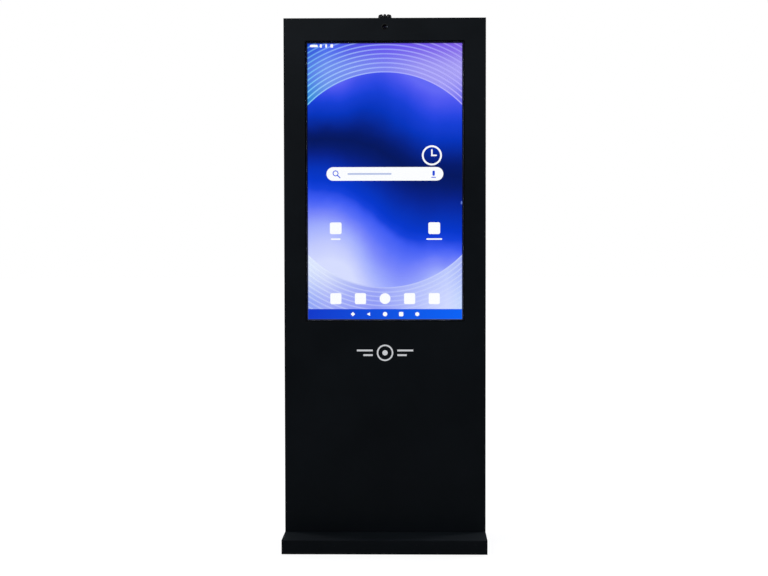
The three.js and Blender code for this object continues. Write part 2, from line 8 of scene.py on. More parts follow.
# %% Load the frame
import bpy
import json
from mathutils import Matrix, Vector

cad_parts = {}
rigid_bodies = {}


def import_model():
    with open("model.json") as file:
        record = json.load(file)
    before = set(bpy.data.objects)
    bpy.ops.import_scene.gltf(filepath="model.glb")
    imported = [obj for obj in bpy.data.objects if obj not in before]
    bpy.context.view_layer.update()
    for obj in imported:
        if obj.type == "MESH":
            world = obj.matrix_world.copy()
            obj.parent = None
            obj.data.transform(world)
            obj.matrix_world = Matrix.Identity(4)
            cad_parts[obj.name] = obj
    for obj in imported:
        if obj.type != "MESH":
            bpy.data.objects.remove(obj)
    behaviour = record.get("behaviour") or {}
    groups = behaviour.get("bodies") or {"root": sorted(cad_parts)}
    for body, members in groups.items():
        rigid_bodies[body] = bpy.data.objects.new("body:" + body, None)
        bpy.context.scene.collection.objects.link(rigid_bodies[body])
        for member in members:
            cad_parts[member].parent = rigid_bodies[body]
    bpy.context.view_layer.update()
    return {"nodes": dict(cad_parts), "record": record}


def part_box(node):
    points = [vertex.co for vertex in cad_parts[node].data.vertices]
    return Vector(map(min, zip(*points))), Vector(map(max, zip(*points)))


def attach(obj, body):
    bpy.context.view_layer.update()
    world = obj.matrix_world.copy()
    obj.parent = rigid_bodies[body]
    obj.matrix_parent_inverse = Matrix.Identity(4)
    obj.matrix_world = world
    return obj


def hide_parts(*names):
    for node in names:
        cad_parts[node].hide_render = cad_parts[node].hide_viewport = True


for leftover in list(bpy.data.objects):
    bpy.data.objects.remove(leftover)

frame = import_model()

# %% [markdown]
# ## Tools and units
# Blender counts in metres, so lengths are written in millimetres and multiplied by `MM`.

# %% Tools and units
import json
import math

import bmesh
from mathutils import Matrix, Vector

MM = 0.001
X, Y, Z = Vector((1, 0, 0)), Vector((0, 1, 0)), Vector((0, 0, 1))
SIDES = {"left": -1, "right": 1}
nodes = frame["nodes"]


def middle(node):
    low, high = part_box(node)
    return (low + high) / 2


# %% [markdown]
# ## Camera and light
# The kiosk is seen from about five and a half metres, from the height of a person's chest and a little to
# the right of its middle, with a long lens, so the column's edges stay almost parallel. Aiming the camera
# a touch downwards keeps the whole object in the frame with no lens shift.

# %% Camera
CAMERA_PLACE = (0.108, -5.455, 1.087)
CAMERA_LENS = 74.4
PAN, TIP, LEVEL = (math.radians(angle) for angle in (1.18, 90 - 2.14, -0.08))


def make_camera():
    data = bpy.data.cameras.new("studio_camera")
    data.sensor_width = 36
    data.lens = CAMERA_LENS
    data.clip_end = 200
    camera = bpy.data.objects.new("studio_camera", data)
    bpy.context.scene.collection.objects.link(camera)
    aim = Matrix.Rotation(PAN, 4, "Z") @ Matrix.Rotation(TIP, 4, "X") @ Matrix.Rotation(LEVEL, 4, "Z")
    camera.matrix_world = Matrix.Translation(CAMERA_PLACE) @ aim
    bpy.context.scene.camera = camera
    print(f"camera {-camera.location.y:.2f} m in front, {camera.location.z:.2f} m up, {data.lens} mm lens")


make_camera()


# %% [markdown]
# A black object needs large, soft lights whose reflections are broad and dim, or it turns grey. The world
# is plain white where the camera looks straight at it, and much darker as a source of light, above all
# near the horizon. Five large area lights do the rest: two in front of it and above, one overhead, and two
# behind it, low and well to the sides, so that they light the back without shining off the base's top.

# %% Light
def area_light(name, place, aim, size, power):
    data = bpy.data.lights.new(name, "AREA")
    data.shape = "RECTANGLE"
    data.size, data.size_y = size
    data.energy = power
    light = bpy.data.objects.new(name, data)
    bpy.context.scene.collection.objects.link(light)
    away = Vector(place) - Vector(aim)
    light.matrix_world = Matrix.Translation(place) @ away.to_track_quat("Z", "Y").to_matrix().to_4x4()
    print(f"{name}: {power} W over {size[0]} by {size[1]} m, {away.length:.1f} m away")


def make_world():
    world = bpy.data.worlds.new("studio")
    bpy.context.scene.world = world
    world.use_nodes = True
    tree = world.node_tree
    tree.nodes.clear()
    output = tree.nodes.new("ShaderNodeOutputWorld")
    choose = tree.nodes.new("ShaderNodeMixShader")
    path = tree.nodes.new("ShaderNodeLightPath")
    dim, white = (tree.nodes.new("ShaderNodeBackground") for _ in range(2))
    direction = tree.nodes.new("ShaderNodeTexCoord")
    parts = tree.nodes.new("ShaderNodeSeparateXYZ")
    sky = tree.nodes.new("ShaderNodeMapRange")
    for key, value in (("From Min", 0.1), ("From Max", 0.9), ("To Min", 0.03), ("To Max", 0.22)):
        sky.inputs[key].default_value = value
    dim.inputs["Color"].default_value = (0.86, 0.94, 1.0, 1)
    white.inputs["Color"].default_value = (1, 1, 1, 1)
    tree.links.new(direction.outputs["Generated"], parts.inputs[0])
    tree.links.new(parts.outputs[2], sky.inputs["Value"])
    tree.links.new(sky.outputs[0], dim.inputs["Strength"])
    tree.links.new(path.outputs["Is Camera Ray"], choose.inputs[0])
    tree.links.new(dim.outputs[0], choose.inputs[1])
    tree.links.new(white.outputs[0], choose.inputs[2])
    tree.links.new(choose.outputs[0], output.inputs["Surface"])


make_world()
bpy.context.scene.view_settings.view_transform = "Standard"
area_light("key_left", (-1.7, -2.0, 3.3), (0, 0, 1.9), (1.6, 1.6), 32)
area_light("key_right", (1.9, -2.0, 3.3), (0, 0, 1.9), (1.2, 1.2), 17)
area_light("overhead", (0, 0.6, 4.4), (0, 0.3, 0), (4.0, 3.0), 14)
area_light("behind_right", (4.4, 2.2, 1.2), (0, 0, 1.1), (1.4, 1.8), 200)
area_light("behind_left", (-4.4, 2.2, 1.2), (0, 0, 1.1), (1.4, 1.8), 190)

# %% [markdown]
# ## Shader helpers
# Materials are written as small node trees. The helpers below add one node with its inputs set, so each
# recipe reads from top to bottom. Colours are given as they look on a monitor, 0 to 255, and turned into
# the linear values that shaders use.

# %% Node helpers
def tone(r, g, b):
    bent = [c / 255 for c in (r, g, b)]
    return (*(c / 12.92 if c < 0.04045 else ((c + 0.055) / 1.055) ** 2.4 for c in bent), 1)


def add_node(tree, kind, inputs=None, **settings):
    made = tree.nodes.new(kind)
    for key, value in settings.items():
        setattr(made, key, value)
    for key, value in (inputs or {}).items():
        if isinstance(value, bpy.types.NodeSocket):
            tree.links.new(value, made.inputs[key])
        else:
            made.inputs[key].default_value = value
    return made


def maths(tree, operation, a, b=0.0, c=0.0, clamp=False):
    made = add_node(tree, "ShaderNodeMath", {0: a, 1: b, 2: c}, operation=operation, use_clamp=clamp)
    return made.outputs[0]


def mix_colour(tree, share, a, b):
    made = add_node(tree, "ShaderNodeMix", data_type="RGBA")
    for socket, value in ((0, share), (6, a), (7, b)):
        if isinstance(value, bpy.types.NodeSocket):
            tree.links.new(value, made.inputs[socket])
        else:
            made.inputs[socket].default_value = value
    return made.outputs[2]


def spread(tree, value, low, high, to_low=0.0, to_high=1.0):
    keys = ("Value", "From Min", "From Max", "To Min", "To Max")
    made = add_node(tree, "ShaderNodeMapRange", dict(zip(keys, (value, low, high, to_low, to_high))))
    return made.outputs[0]


def soft_step(tree, value, low, high):
    made = add_node(
        tree,
        "ShaderNodeMapRange",
        {"Value": value, "From Min": low, "From Max": high},
        interpolation_type="SMOOTHSTEP",
    )
    return made.outputs[0]


def ramp(tree, value, stops):
    made = add_node(tree, "ShaderNodeValToRGB", {0: value})
    row = made.color_ramp.elements
    while len(row) < len(stops):
        row.new(1.0)
    for stop, (place, colour) in zip(row, stops):
        stop.position = place
        stop.color = colour
    return made.outputs[0]


def object_place(tree):
    return add_node(tree, "ShaderNodeTexCoord").outputs["Object"]


def axes(tree, vector):
    return add_node(tree, "ShaderNodeSeparateXYZ", {0: vector}).outputs


def new_material(name, **values):
    material = bpy.data.materials.new(name)
    material.use_nodes = True
    shader = material.node_tree.nodes["Principled BSDF"]
    for key, value in values.items():
        shader.inputs[key.replace("_", " ")].default_value = value
    return material, material.node_tree, shader


def set_finish(tree, shader, colour, roughness):
    tree.links.new(colour, shader.inputs["Base Color"])
    tree.links.new(roughness, shader.inputs["Roughness"])


# %% [markdown]
# ## Three effects that many finishes share
# Grain is the fine unevenness of paint, moulded plastic and rubber. Brushing is the same idea stretched
# along one direction, as on drawn metal. Handling is the broad, faint change in gloss that dust and
# fingers leave. Each is a node group with named inputs, so a material only says how large it is.

# %% Shared shader groups
def new_group(name, inputs, outputs):
    group = bpy.data.node_groups.new(name, "ShaderNodeTree")
    for label, value in inputs.items():
        socket = group.interface.new_socket(label, in_out="INPUT", socket_type="NodeSocketFloat")
        socket.default_value = value
    for label in outputs:
        group.interface.new_socket(label, in_out="OUTPUT", socket_type="NodeSocketFloat")
    return group, group.nodes.new("NodeGroupInput"), group.nodes.new("NodeGroupOutput")


def make_grain():
    group, given, result = new_group("grain", {"Scale": 900.0, "Detail": 3.0}, ["Height"])
    noise = add_node(
        group,
        "ShaderNodeTexNoise",
        {"Vector": object_place(group), "Scale": given.outputs["Scale"], "Detail": given.outputs["Detail"]},
    )
    group.links.new(noise.outputs[0], result.inputs["Height"])
    return group


def make_brushing():
    group, given, result = new_group("brushing", {"Scale": 120.0, "Stretch": 0.02}, ["Lines"])
    squeeze = add_node(group, "ShaderNodeCombineXYZ", {0: given.outputs["Stretch"], 1: 1.0, 2: 1.0})
    factors = {0: object_place(group), 1: squeeze.outputs[0]}
    drawn = add_node(group, "ShaderNodeVectorMath", factors, operation="MULTIPLY")
    noise = add_node(
        group,
        "ShaderNodeTexNoise",
        {"Vector": drawn.outputs[0], "Scale": given.outputs["Scale"], "Detail": 4.0},
    )
    group.links.new(noise.outputs[0], result.inputs["Lines"])
    return group


def make_handling():
    group, given, result = new_group("handling", {"Scale": 5.0, "Contrast": 1.0}, ["Marks"])
    look = {"Vector": object_place(group), "Scale": given.outputs["Scale"], "Detail": 5.0, "Roughness": 0.6}
    cloud = add_node(group, "ShaderNodeTexNoise", look)
    marks = spread(group, cloud.outputs[0], 0.35, 0.7)
    stronger = maths(group, "MULTIPLY", marks, given.outputs["Contrast"])
    group.links.new(stronger, result.inputs["Marks"])
    return group


GRAIN, BRUSHING, HANDLING = make_grain(), make_brushing(), make_handling()


def effect(tree, group, **inputs):
    made = tree.nodes.new("ShaderNodeGroup")
    made.node_tree = group
    for key, value in inputs.items():
        made.inputs[key].default_value = value
    return made.outputs[0]


def raise_surface(tree, shader, height, strength, distance):
    values = {"Height": height, "Strength": strength, "Distance": distance}
    bump = add_node(tree, "ShaderNodeBump", values)
    tree.links.new(bump.outputs[0], shader.inputs["Normal"])


# %% [markdown]
# ## Paint
# The housing is powder coated: the powder melts into a tough satin skin with a fine, even texture, like
# very small orange peel. Its gloss varies faintly over the sheet, and near the floor it is scuffed by
# shoes and mops, so a pale scatter of marks fades out a hand's breadth above the base.

# %% Powder coat
SCUFF_TOP = 130 * MM


def make_powder_coat():
    material, tree, shader = new_material("powder_coat", IOR=1.45, Specular_IOR_Level=0.32)
    texture = effect(tree, GRAIN, Scale=850.0, Detail=2.0)
    gloss = effect(tree, HANDLING, Scale=3.5, Contrast=1.0)
    scratches = effect(tree, GRAIN, Scale=160.0, Detail=6.0)
    near_floor = spread(tree, axes(tree, object_place(tree))[2], SCUFF_TOP, 0.0)
    scuffs = maths(tree, "MULTIPLY", soft_step(tree, scratches, 0.66, 0.74), near_floor, clamp=True)
    scuffs = maths(tree, "MULTIPLY", scuffs, 0.35)
    skin = mix_colour(tree, gloss, tone(14, 20, 26), tone(19, 26, 33))
    colour = mix_colour(tree, scuffs, skin, tone(90, 90, 90))
    set_finish(tree, shader, colour, spread(tree, gloss, 0.0, 1.0, 0.44, 0.54))
    raise_surface(tree, shader, texture, 0.25, 0.0004)
    return material


# %% [markdown]
# ## Bare metals
# The parts that no visitor sees are zinc-plated sheet, whose plating freezes in faint crystals, or plain
# aluminium with the lines of the rolling mill in it. Chrome and bright copper share a recipe: they are
# smooth, and wiping marks change their tone and gloss a little. The locks and the button's ring are chrome.

# %% Metals
def make_zinc(name, dark, light, rough, crystal):
    material, tree, shader = new_material(name, Metallic=1.0)
    crystals = add_node(tree, "ShaderNodeTexVoronoi", {"Vector": object_place(tree), "Scale": crystal})
    shade = add_node(tree, "ShaderNodeSeparateColor", {0: crystals.outputs["Color"]}).outputs[0]
    wipe = effect(tree, HANDLING, Scale=9.0, Contrast=1.0)
    shade = maths(tree, "MULTIPLY_ADD", shade, 0.6, maths(tree, "MULTIPLY", wipe, 0.4))
    colour = mix_colour(tree, shade, tone(*dark), tone(*light))
    set_finish(tree, shader, colour, spread(tree, shade, 0.0, 1.0, *rough))
    raise_surface(tree, shader, effect(tree, GRAIN, Scale=500.0, Detail=4.0), 0.08, 0.0002)
    return material


def make_aluminium():
    material, tree, shader = new_material("mill_aluminium", Metallic=1.0)
    lines = effect(tree, BRUSHING, Scale=900.0, Stretch=0.015)
    colour = mix_colour(tree, lines, tone(186, 188, 192), tone(214, 215, 218))
    set_finish(tree, shader, colour, spread(tree, lines, 0.3, 0.7, 0.3, 0.42))
    raise_surface(tree, shader, lines, 0.08, 0.0001)
    return material


def make_bright_metal(name, marks, clean, dull, rough):
    material, tree, shader = new_material(name, Metallic=1.0)
    wipe = effect(tree, HANDLING, Scale=marks, Contrast=1.0)
    colour = mix_colour(tree, wipe, tone(*clean), tone(*dull))
    set_finish(tree, shader, colour, spread(tree, wipe, 0.0, 1.0, *rough))
    return material


# %% [markdown]
# ## Plastics, rubber, foam and lead sheathing
# Moulded parts carry the fine spark-eroded texture of their mould. Rubber is rougher and dustier, foam is
# full of small pits, with painted shade darkening each pit, and the sheathing of a lead is smooth with a
# soft sheen. One recipe makes most of them, with the colours, the grain and the gloss as its measures. The
# white print is a reflective film, and a small painted glow stands for the light that such a film sends
# straight back.

# %% Moulded finishes
def make_moulded(name, dark, light, grain, bump, rough, marks=12.0):
    material, tree, shader = new_material(name, IOR=1.46, Specular_IOR_Level=0.4)
    wear = effect(tree, HANDLING, Scale=marks, Contrast=1.0)
    colour = mix_colour(tree, wear, tone(*dark), tone(*light))
    set_finish(tree, shader, colour, spread(tree, wear, 0.0, 1.0, *rough))
    raise_surface(tree, shader, effect(tree, GRAIN, Scale=grain, Detail=2.0), bump, 0.0003)
    return material


def make_ink():
    # The emission is a painted glow: light drawn onto the print, which is no lamp.
    material, tree, shader = new_material("printed_white", IOR=1.46, Emission_Strength=0.42)
    wear = effect(tree, HANDLING, Scale=40.0, Contrast=1.0)
    white = mix_colour(tree, wear, tone(240, 241, 244), tone(226, 228, 232))
    set_finish(tree, shader, white, spread(tree, wear, 0.0, 1.0, 0.45, 0.6))
    tree.links.new(white, shader.inputs["Emission Color"])
    raise_surface(tree, shader, effect(tree, GRAIN, Scale=900.0, Detail=2.0), 0.1, 0.0003)
    return material


def make_foam():
    material, tree, shader = new_material("sealing_foam", Roughness=0.95, Specular_IOR_Level=0.15)
    look = {"Vector": object_place(tree), "Scale": 900.0}
    pit_depth_and_shade = add_node(tree, "ShaderNodeTexVoronoi", look).outputs["Distance"]
    # The colour follows the depth of the pits: painted shade, darkest at the bottom of each pit.
    tree.links.new(mix_colour(tree, pit_depth_and_shade, tone(14, 14, 14), tone(44, 44, 44)), shader.inputs["Base Color"])
    raise_surface(tree, shader, pit_depth_and_shade, 0.6, 0.0004)
    return material


# %% [markdown]
# ## Circuit board
# A board is fibreglass under green lacquer, and its copper tracks show through as lighter lines. They run
# straight in bundles, some upright and some level, so two sets of stripes are mixed by square cells.

# %% Board
TRACK_PITCH = 1.8 * MM


def make_board():
    material, tree, shader = new_material("circuit_board", Coat_Weight=0.4, Coat_Roughness=0.15)
    place = object_place(tree)
    parts = axes(tree, place)
    cells = add_node(tree, "ShaderNodeTexVoronoi", {"Vector": place, "Scale": 80.0}, distance="CHEBYCHEV")
    choice = add_node(tree, "ShaderNodeSeparateColor", {0: cells.outputs["Color"]})
    upright = maths(tree, "GREATER_THAN", choice.outputs[0], 0.5)
    drawn = maths(tree, "GREATER_THAN", choice.outputs[1], 0.3)
    lines = []
    for axis in (0, 2):
        turns = maths(tree, "DIVIDE", parts[axis], TRACK_PITCH)
        lines.append(soft_step(tree, maths(tree, "PINGPONG", turns, 0.5), 0.16, 0.1))
    stripes = add_node(tree, "ShaderNodeMix", {0: upright, 2: lines[1], 3: lines[0]}).outputs[0]
    tracks = maths(tree, "MULTIPLY", stripes, drawn)
    speckle = effect(tree, GRAIN, Scale=1200.0, Detail=2.0)
    lacquer = mix_colour(tree, speckle, tone(12, 66, 40), tone(18, 84, 50))
    colour = mix_colour(tree, tracks, lacquer, tone(42, 120, 74))
    set_finish(tree, shader, colour, spread(tree, speckle, 0.3, 0.7, 0.3, 0.45))
    return material


# %% [markdown]
# ## Glass
# The touch glass is clear and flat, so it is a plain transmitting shader. The lens is nearly black, with a
# violet coating that only shows in its gloss.

# %% Glass
def make_glass():
    material, tree, shader = new_material("clear_glass", Transmission_Weight=1.0, IOR=1.5)
    shader.inputs["Base Color"].default_value = (1, 1, 1, 1)
    haze = effect(tree, HANDLING, Scale=6.0, Contrast=1.0)
    tree.links.new(spread(tree, haze, 0.0, 1.0, 0.0, 0.02), shader.inputs["Roughness"])
    return material


def make_lens():
    material, tree, shader = new_material("lens_coating", IOR=1.6, Coat_Weight=1.0, Coat_Roughness=0.02)
    shader.inputs["Coat Tint"].default_value = tone(150, 120, 255)
    tint = effect(tree, HANDLING, Scale=300.0, Contrast=0.6)
    colour = mix_colour(tree, tint, tone(8, 8, 16), tone(16, 12, 34))
    set_finish(tree, shader, colour, spread(tree, tint, 0.0, 1.0, 0.03, 0.08))
    return material


# %% [markdown]
# ## The lit picture
# The wallpaper is a disc, wider than the screen, crossed by a dark diagonal wave, with thin bright arcs
# round it. Its colours are lists of stops: a place, and the colour there. Those of the wave go with
# the distance above or below its edge, and the others go from the left of the screen, 0, to its right, 1.

# %% Colours of the wallpaper
PICTURE_LOW, PICTURE_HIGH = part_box("screen_picture")
PICTURE_MID = (PICTURE_LOW + PICTURE_HIGH) / 2
DISC_R = 367 * MM
DISC_RISE = 5.5 * MM
ARC_PITCH = 15.3 * MM
ARC_REACH = 170 * MM
NEAR_EDGE = 95 * MM
SCREEN_GLOW = 1.09

# Below the wave's edge the numbers are positive; the dark band is above it, at about -0.6.
WAVE = [
    (-1.58, (98, 104, 245)),
    (-1.47, (78, 88, 240)),
    (-1.38, (58, 78, 232)),
    (-1.3, (40, 70, 226)),
    (-1.2, (20, 62, 212)),
    (-1.0, (2, 51, 188)),
    (-0.88, (2, 42, 161)),
    (-0.77, (2, 32, 132)),
    (-0.66, (1, 24, 106)),
    (-0.55, (1, 21, 93)),
    (-0.42, (2, 25, 108)),
    (-0.28, (3, 31, 134)),
    (-0.13, (3, 41, 163)),
    (0.0, (2, 50, 186)),
    (0.4, (2, 54, 203)),
    (0.7, (18, 64, 218)),
    (1.0, (60, 90, 241)),
    (1.5, (90, 112, 248)),
    (2.0, (121, 135, 250)),
    (3.0, (165, 178, 253)),
    (4.0, (195, 203, 253)),
    (5.0, (213, 220, 254)),
]
SKY_TOP = [
    (0, (8, 66, 206)), (0.12, (66, 100, 238)), (0.28, (78, 79, 228)), (0.5, (97, 78, 235)),
    (1, (127, 94, 230)),
]
SKY_MIDDLE = [
    (0, (78, 125, 228)), (0.12, (112, 145, 237)), (0.5, (126, 132, 240)), (0.73, (156, 150, 241)),
    (1, (168, 160, 243)),
]
SKY_LOW = [
    (0, (40, 134, 211)), (0.14, (100, 154, 226)), (0.5, (127, 140, 244)), (0.86, (152, 147, 245)),
    (1, (106, 105, 239)),
]
GROUND_TOP = [
    (0, (218, 229, 253)), (0.12, (219, 227, 252)), (0.28, (189, 199, 246)), (0.44, (165, 175, 244)),
    (0.65, (168, 180, 246)), (0.9, (186, 199, 252)), (1, (166, 180, 248)),
]
GROUND_LOW = [
    (0, (140, 162, 245)), (0.12, (160, 170, 246)), (0.44, (144, 154, 245)), (0.65, (174, 185, 250)),
    (0.9, (207, 216, 255)), (1, (195, 215, 252)),
]
ARC = [
    (0, (124, 212, 255)), (0.12, (160, 204, 255)), (0.3, (172, 198, 255)), (0.5, (164, 176, 255)),
    (0.75, (184, 182, 255)), (1, (188, 180, 255)),
]
LOW_ARC = [
    (0, (232, 242, 255)), (0.3, (214, 222, 255)), (0.5, (198, 208, 255)), (1, (216, 226, 255)),
]
picture_size = (PICTURE_HIGH - PICTURE_LOW) / MM
print(f"picture {picture_size.x:.1f} by {picture_size.z:.1f} mm, disc {2 * DISC_R / MM:.0f} mm across")


# %% [markdown]
# ## Drawing the wallpaper
# The shader works from the place on the screen. How far a point is above or below the wave's edge picks
# its colour inside the disc; outside, washes of colour blend from one height to the next, and the distance
# from the centre draws the arcs. The picture glows, so all this goes into the shader's emission, and its
# own base colour stays black.

# %% Wallpaper
def lit_material(name):
    values = {"Roughness": 0.6, "Specular_IOR_Level": 0.0, "Emission_Strength": SCREEN_GLOW}
    material, tree, shader = new_material(name, **values)
    shader.inputs["Base Color"].default_value = (0, 0, 0, 1)
    return material, tree, shader


def make_picture():
    material, tree, shader = lit_material("lit_picture")
    offset = {0: object_place(tree), 1: PICTURE_MID + DISC_RISE * Z}
    centred = add_node(tree, "ShaderNodeVectorMath", offset, operation="SUBTRACT").outputs[0]
    x, _, z = axes(tree, centred)
    across = spread(tree, x, -265 * MM, 265 * MM)
    squares = maths(tree, "MULTIPLY_ADD", x, x, maths(tree, "MULTIPLY", z, z))
    r = maths(tree, "SQRT", squares)

    def across_ramp(stops):
        return ramp(tree, across, [(share, tone(*colour)) for share, colour in stops])

    # The wave's edge steps down from left to right, and the dark band above it widens.
    sway = add_node(tree, "ShaderNodeTexNoise", {"Vector": centred, "Scale": 9.0, "Detail": 2.0}).outputs[0]
    fall = soft_step(tree, across, 0.12, 0.74)
    steps_down = spread(tree, fall, 0, 1, 36 * MM, -138 * MM)
    edge = maths(tree, "ADD", steps_down, spread(tree, sway, 0.3, 0.7, -7 * MM, 7 * MM))
    above = maths(tree, "SUBTRACT", z, edge)
    below = maths(tree, "SUBTRACT", edge, z)
    band = spread(tree, soft_step(tree, across, 0.14, 0.52), 0, 1, 188 * MM, 312 * MM)
    narrower = maths(tree, "MULTIPLY", soft_step(tree, across, 0.6, 0.84), 36 * MM)
    band = maths(tree, "SUBTRACT", band, narrower)
    bulge = maths(tree, "MULTIPLY", soft_step(tree, across, 0.22, 0.53), soft_step(tree, across, 0.84, 0.56))
    slope = spread(tree, across, 0, 1, 56 * MM, 42 * MM)
    slope = maths(tree, "ADD", slope, maths(tree, "MULTIPLY", bulge, 55 * MM))

    def share_of(length, value):
        return maths(tree, "DIVIDE", maths(tree, "MAXIMUM", value, 0.0), length)

    near = maths(tree, "MINIMUM", share_of(NEAR_EDGE, below), 1.0)
    deep = share_of(slope, maths(tree, "SUBTRACT", below, NEAR_EDGE))
    over = share_of(band, above)
    level = maths(tree, "SUBTRACT", maths(tree, "ADD", near, deep), over)
    low, high = WAVE[0][0], WAVE[-1][0]
    stops = [((at - low) / (high - low), tone(*colour)) for at, colour in WAVE]
    disc = ramp(tree, spread(tree, level, low, high), stops)

    # Outside the disc, a wash of colour above and a paler one below.
    def blend(start, end, here, there):
        return mix_colour(tree, soft_step(tree, z, start * MM, end * MM), here, there)

    sky = blend(372, 468, across_ramp(SKY_MIDDLE), across_ramp(SKY_TOP))
    sky = blend(365, 262, sky, across_ramp(SKY_LOW))
    ground = blend(-285, -440, across_ramp(GROUND_TOP), across_ramp(GROUND_LOW))
    lower = soft_step(tree, z, 60 * MM, -120 * MM)
    wash = mix_colour(tree, lower, sky, ground)

    # Thin arcs at an even pitch from the disc's edge outwards, fainter below.
    turns = maths(tree, "DIVIDE", maths(tree, "SUBTRACT", r, DISC_R), ARC_PITCH)
    line = soft_step(tree, maths(tree, "PINGPONG", turns, 0.5), 0.24, 0.02)
    outside = soft_step(tree, r, DISC_R - 3 * MM, DISC_R)
    strength = spread(tree, r, DISC_R, DISC_R + ARC_REACH, 0.95, 0.42)
    strength = maths(tree, "MULTIPLY", strength, spread(tree, lower, 0, 1, 1.0, 0.6))
    line = maths(tree, "MULTIPLY", maths(tree, "MULTIPLY", line, outside), strength)
    arcs = mix_colour(tree, lower, across_ramp(ARC), across_ramp(LOW_ARC))
    picture = mix_colour(tree, line, mix_colour(tree, outside, disc, wash), arcs)

    # Over its last few millimetres the picture darkens into the black round it.
    half = (PICTURE_HIGH - PICTURE_LOW) / 2
    to_side = maths(tree, "SUBTRACT", half.x, maths(tree, "ABSOLUTE", x))
    to_end = maths(tree, "SUBTRACT", half.z, maths(tree, "ABSOLUTE", maths(tree, "ADD", z, DISC_RISE)))
    lit = soft_step(tree, maths(tree, "MINIMUM", to_side, to_end), 0.5 * MM, 4 * MM)
    tree.links.new(mix_colour(tree, lit, tone(3, 8, 60), picture), shader.inputs["Emission Color"])
    return material


# %% [markdown]
# ## Lit colours and all finishes
# What is lit on the screen, each small lamp and the painted glint beside the lens are an even glow that may
# change colour a little from the left of the screen to its right. With that the recipes are complete, and
# every finish is made once. The numbers after the two tones of a moulded one are the fineness and depth of
# its grain and its gloss.

# %% All finishes
def make_glow(name, left, right):
    material, tree, shader = lit_material(name)
    across = spread(tree, axes(tree, object_place(tree))[0], PICTURE_LOW.x, PICTURE_HIGH.x)
    tree.links.new(mix_colour(tree, across, tone(*left), tone(*right)), shader.inputs["Emission Color"])
    return material


PAINT = make_powder_coat()
ZINC = make_zinc("zinc_plate", (176, 179, 183), (198, 200, 201), (0.36, 0.43), 150.0)
ALUMINIUM = make_aluminium()
CHROME = make_bright_metal("chrome", 140.0, (218, 220, 224), (200, 202, 207), (0.14, 0.28))
COPPER = make_bright_metal("bright_copper", 200.0, (214, 150, 96), (186, 116, 70), (0.2, 0.4))
MOULDED = make_moulded("moulded_black", (15, 15, 16), (24, 24, 26), 1500.0, 0.3, (0.42, 0.56))
SATIN = make_moulded("satin_black_knob", (14, 14, 16), (24, 24, 27), 1200.0, 0.12, (0.2, 0.32), 60.0)
PIANO = make_moulded("polished_black_frame", (5, 5, 7), (9, 9, 11), 1500.0, 0.04, (0.16, 0.26))
GREY = make_moulded("moulded_grey", (70, 72, 76), (84, 86, 90), 1500.0, 0.3, (0.42, 0.55))
RUBBER = make_moulded("foot_rubber", (20, 20, 20), (40, 39, 38), 500.0, 0.4, (0.75, 0.9))
SHEATH = make_moulded("lead_sheath", (12, 12, 13), (22, 22, 23), 300.0, 0.12, (0.35, 0.48), 30.0)
SHIELD = make_zinc("panel_shield", (150, 153, 158), (164, 166, 170), (0.46, 0.54), 320.0)
INK = make_ink()
FOAM = make_foam()
BOARD = make_board()
GLASS = make_glass()
LENS = make_lens()
PICTURE = make_picture()
WHITE_GLOW = make_glow("lit_white", (250, 252, 255), (252, 253, 255))
BAR_GLOW = make_glow("lit_navigation_bar", (16, 56, 200), (8, 98, 244))
BLUE_GLOW = make_glow("lit_blue", (30, 80, 226), (20, 66, 214))
GREY_GLOW = make_glow("lit_grey", (176, 190, 226), (190, 200, 232))
TAB_GLOW = make_glow("lit_edge_tab", (96, 122, 206), (96, 122, 206))
# A painted glint beside the lens: the highlight of the lens glass, drawn as an even glow.
LENS_GLINT_GLOW = make_glow("painted_glint_glow", (112, 122, 138), (112, 122, 138))
GREEN_GLOW = make_glow("lit_green", (60, 220, 110), (60, 220, 110))
print(len(bpy.data.materials), "finishes")

# %% [markdown]
# ## Dress the CAD solids
# Sheet metal is never razor sharp, so each solid gets a small bevel. A CAD solid arrives as loose
# triangles: a Weld modifier joins them, a Bevel modifier rounds what is sharper than 31 degrees, and
# weighted normals keep the large faces flat. The solids' own points and faces stay as they came.

# %% Assign finishes and bevels
FINISH_BY_SLOT = {
    "black_steel": (PAINT, 0.5),
    "zinc_steel": (ZINC, 0.3),
    "foot_rubber": (RUBBER, 0.4),
    "black_plastic": (MOULDED, 0.3),
    "knob_plastic": (SATIN, 0.4),
    "grey_plastic": (GREY, 0.3),
    "chrome": (CHROME, 0.3),
    "aluminium": (ALUMINIUM, 0.4),
    "touch_glass": (GLASS, 0.0),
    "lens_glass": (LENS, 0.0),
    "picture": (PICTURE, 0.0),
    "panel": (SHIELD, 0.8),
    "lead_pvc": (SHEATH, 0.0),
}
OWN_FINISH = {"ir_touch_frame": PIANO}
OWN_BEVEL = {"base_cover": 0.7, "front_cover": 0.6, "power_supply": 1.0, "media_player": 0.8}


def dress(node, material, bevel):
    solid = nodes[node]
    solid.data.materials.clear()
    solid.data.materials.append(material)
    if material in (GLASS, LENS, PICTURE):
        return
    weld = solid.modifiers.new("weld", "WELD")
    weld.merge_threshold = 0.00001
    solid.data.polygons.foreach_set("use_smooth", [True] * len(solid.data.polygons))
    if bevel == 0.0:
        return
    rounding = solid.modifiers.new("rounding", "BEVEL")
    rounding.width = bevel * MM
    rounding.segments = 2
    rounding.limit_method = "ANGLE"
    rounding.angle_limit = math.radians(31)
    flat = solid.modifiers.new("flat_faces", "WEIGHTED_NORMAL")
    flat.weight = 100


for entry in frame["record"]["subparts"]:
    name = entry["node"]
    material, bevel = FINISH_BY_SLOT[entry["material_slot"]]
    dress(name, OWN_FINISH.get(name, material), OWN_BEVEL.get(name, bevel))

# %% [markdown]
# ## Modelling helpers
# New pieces are bmesh shapes. A slab is a cube brought to size with its edges bevelled, a rod is a
# cylinder, and a turned shape is a profile spun about an axis. A shape that repeats is built once and
# stamped where it is needed. Every piece ends in the same way: doubles merged, normals outwards, one
# finish, one body to ride on.

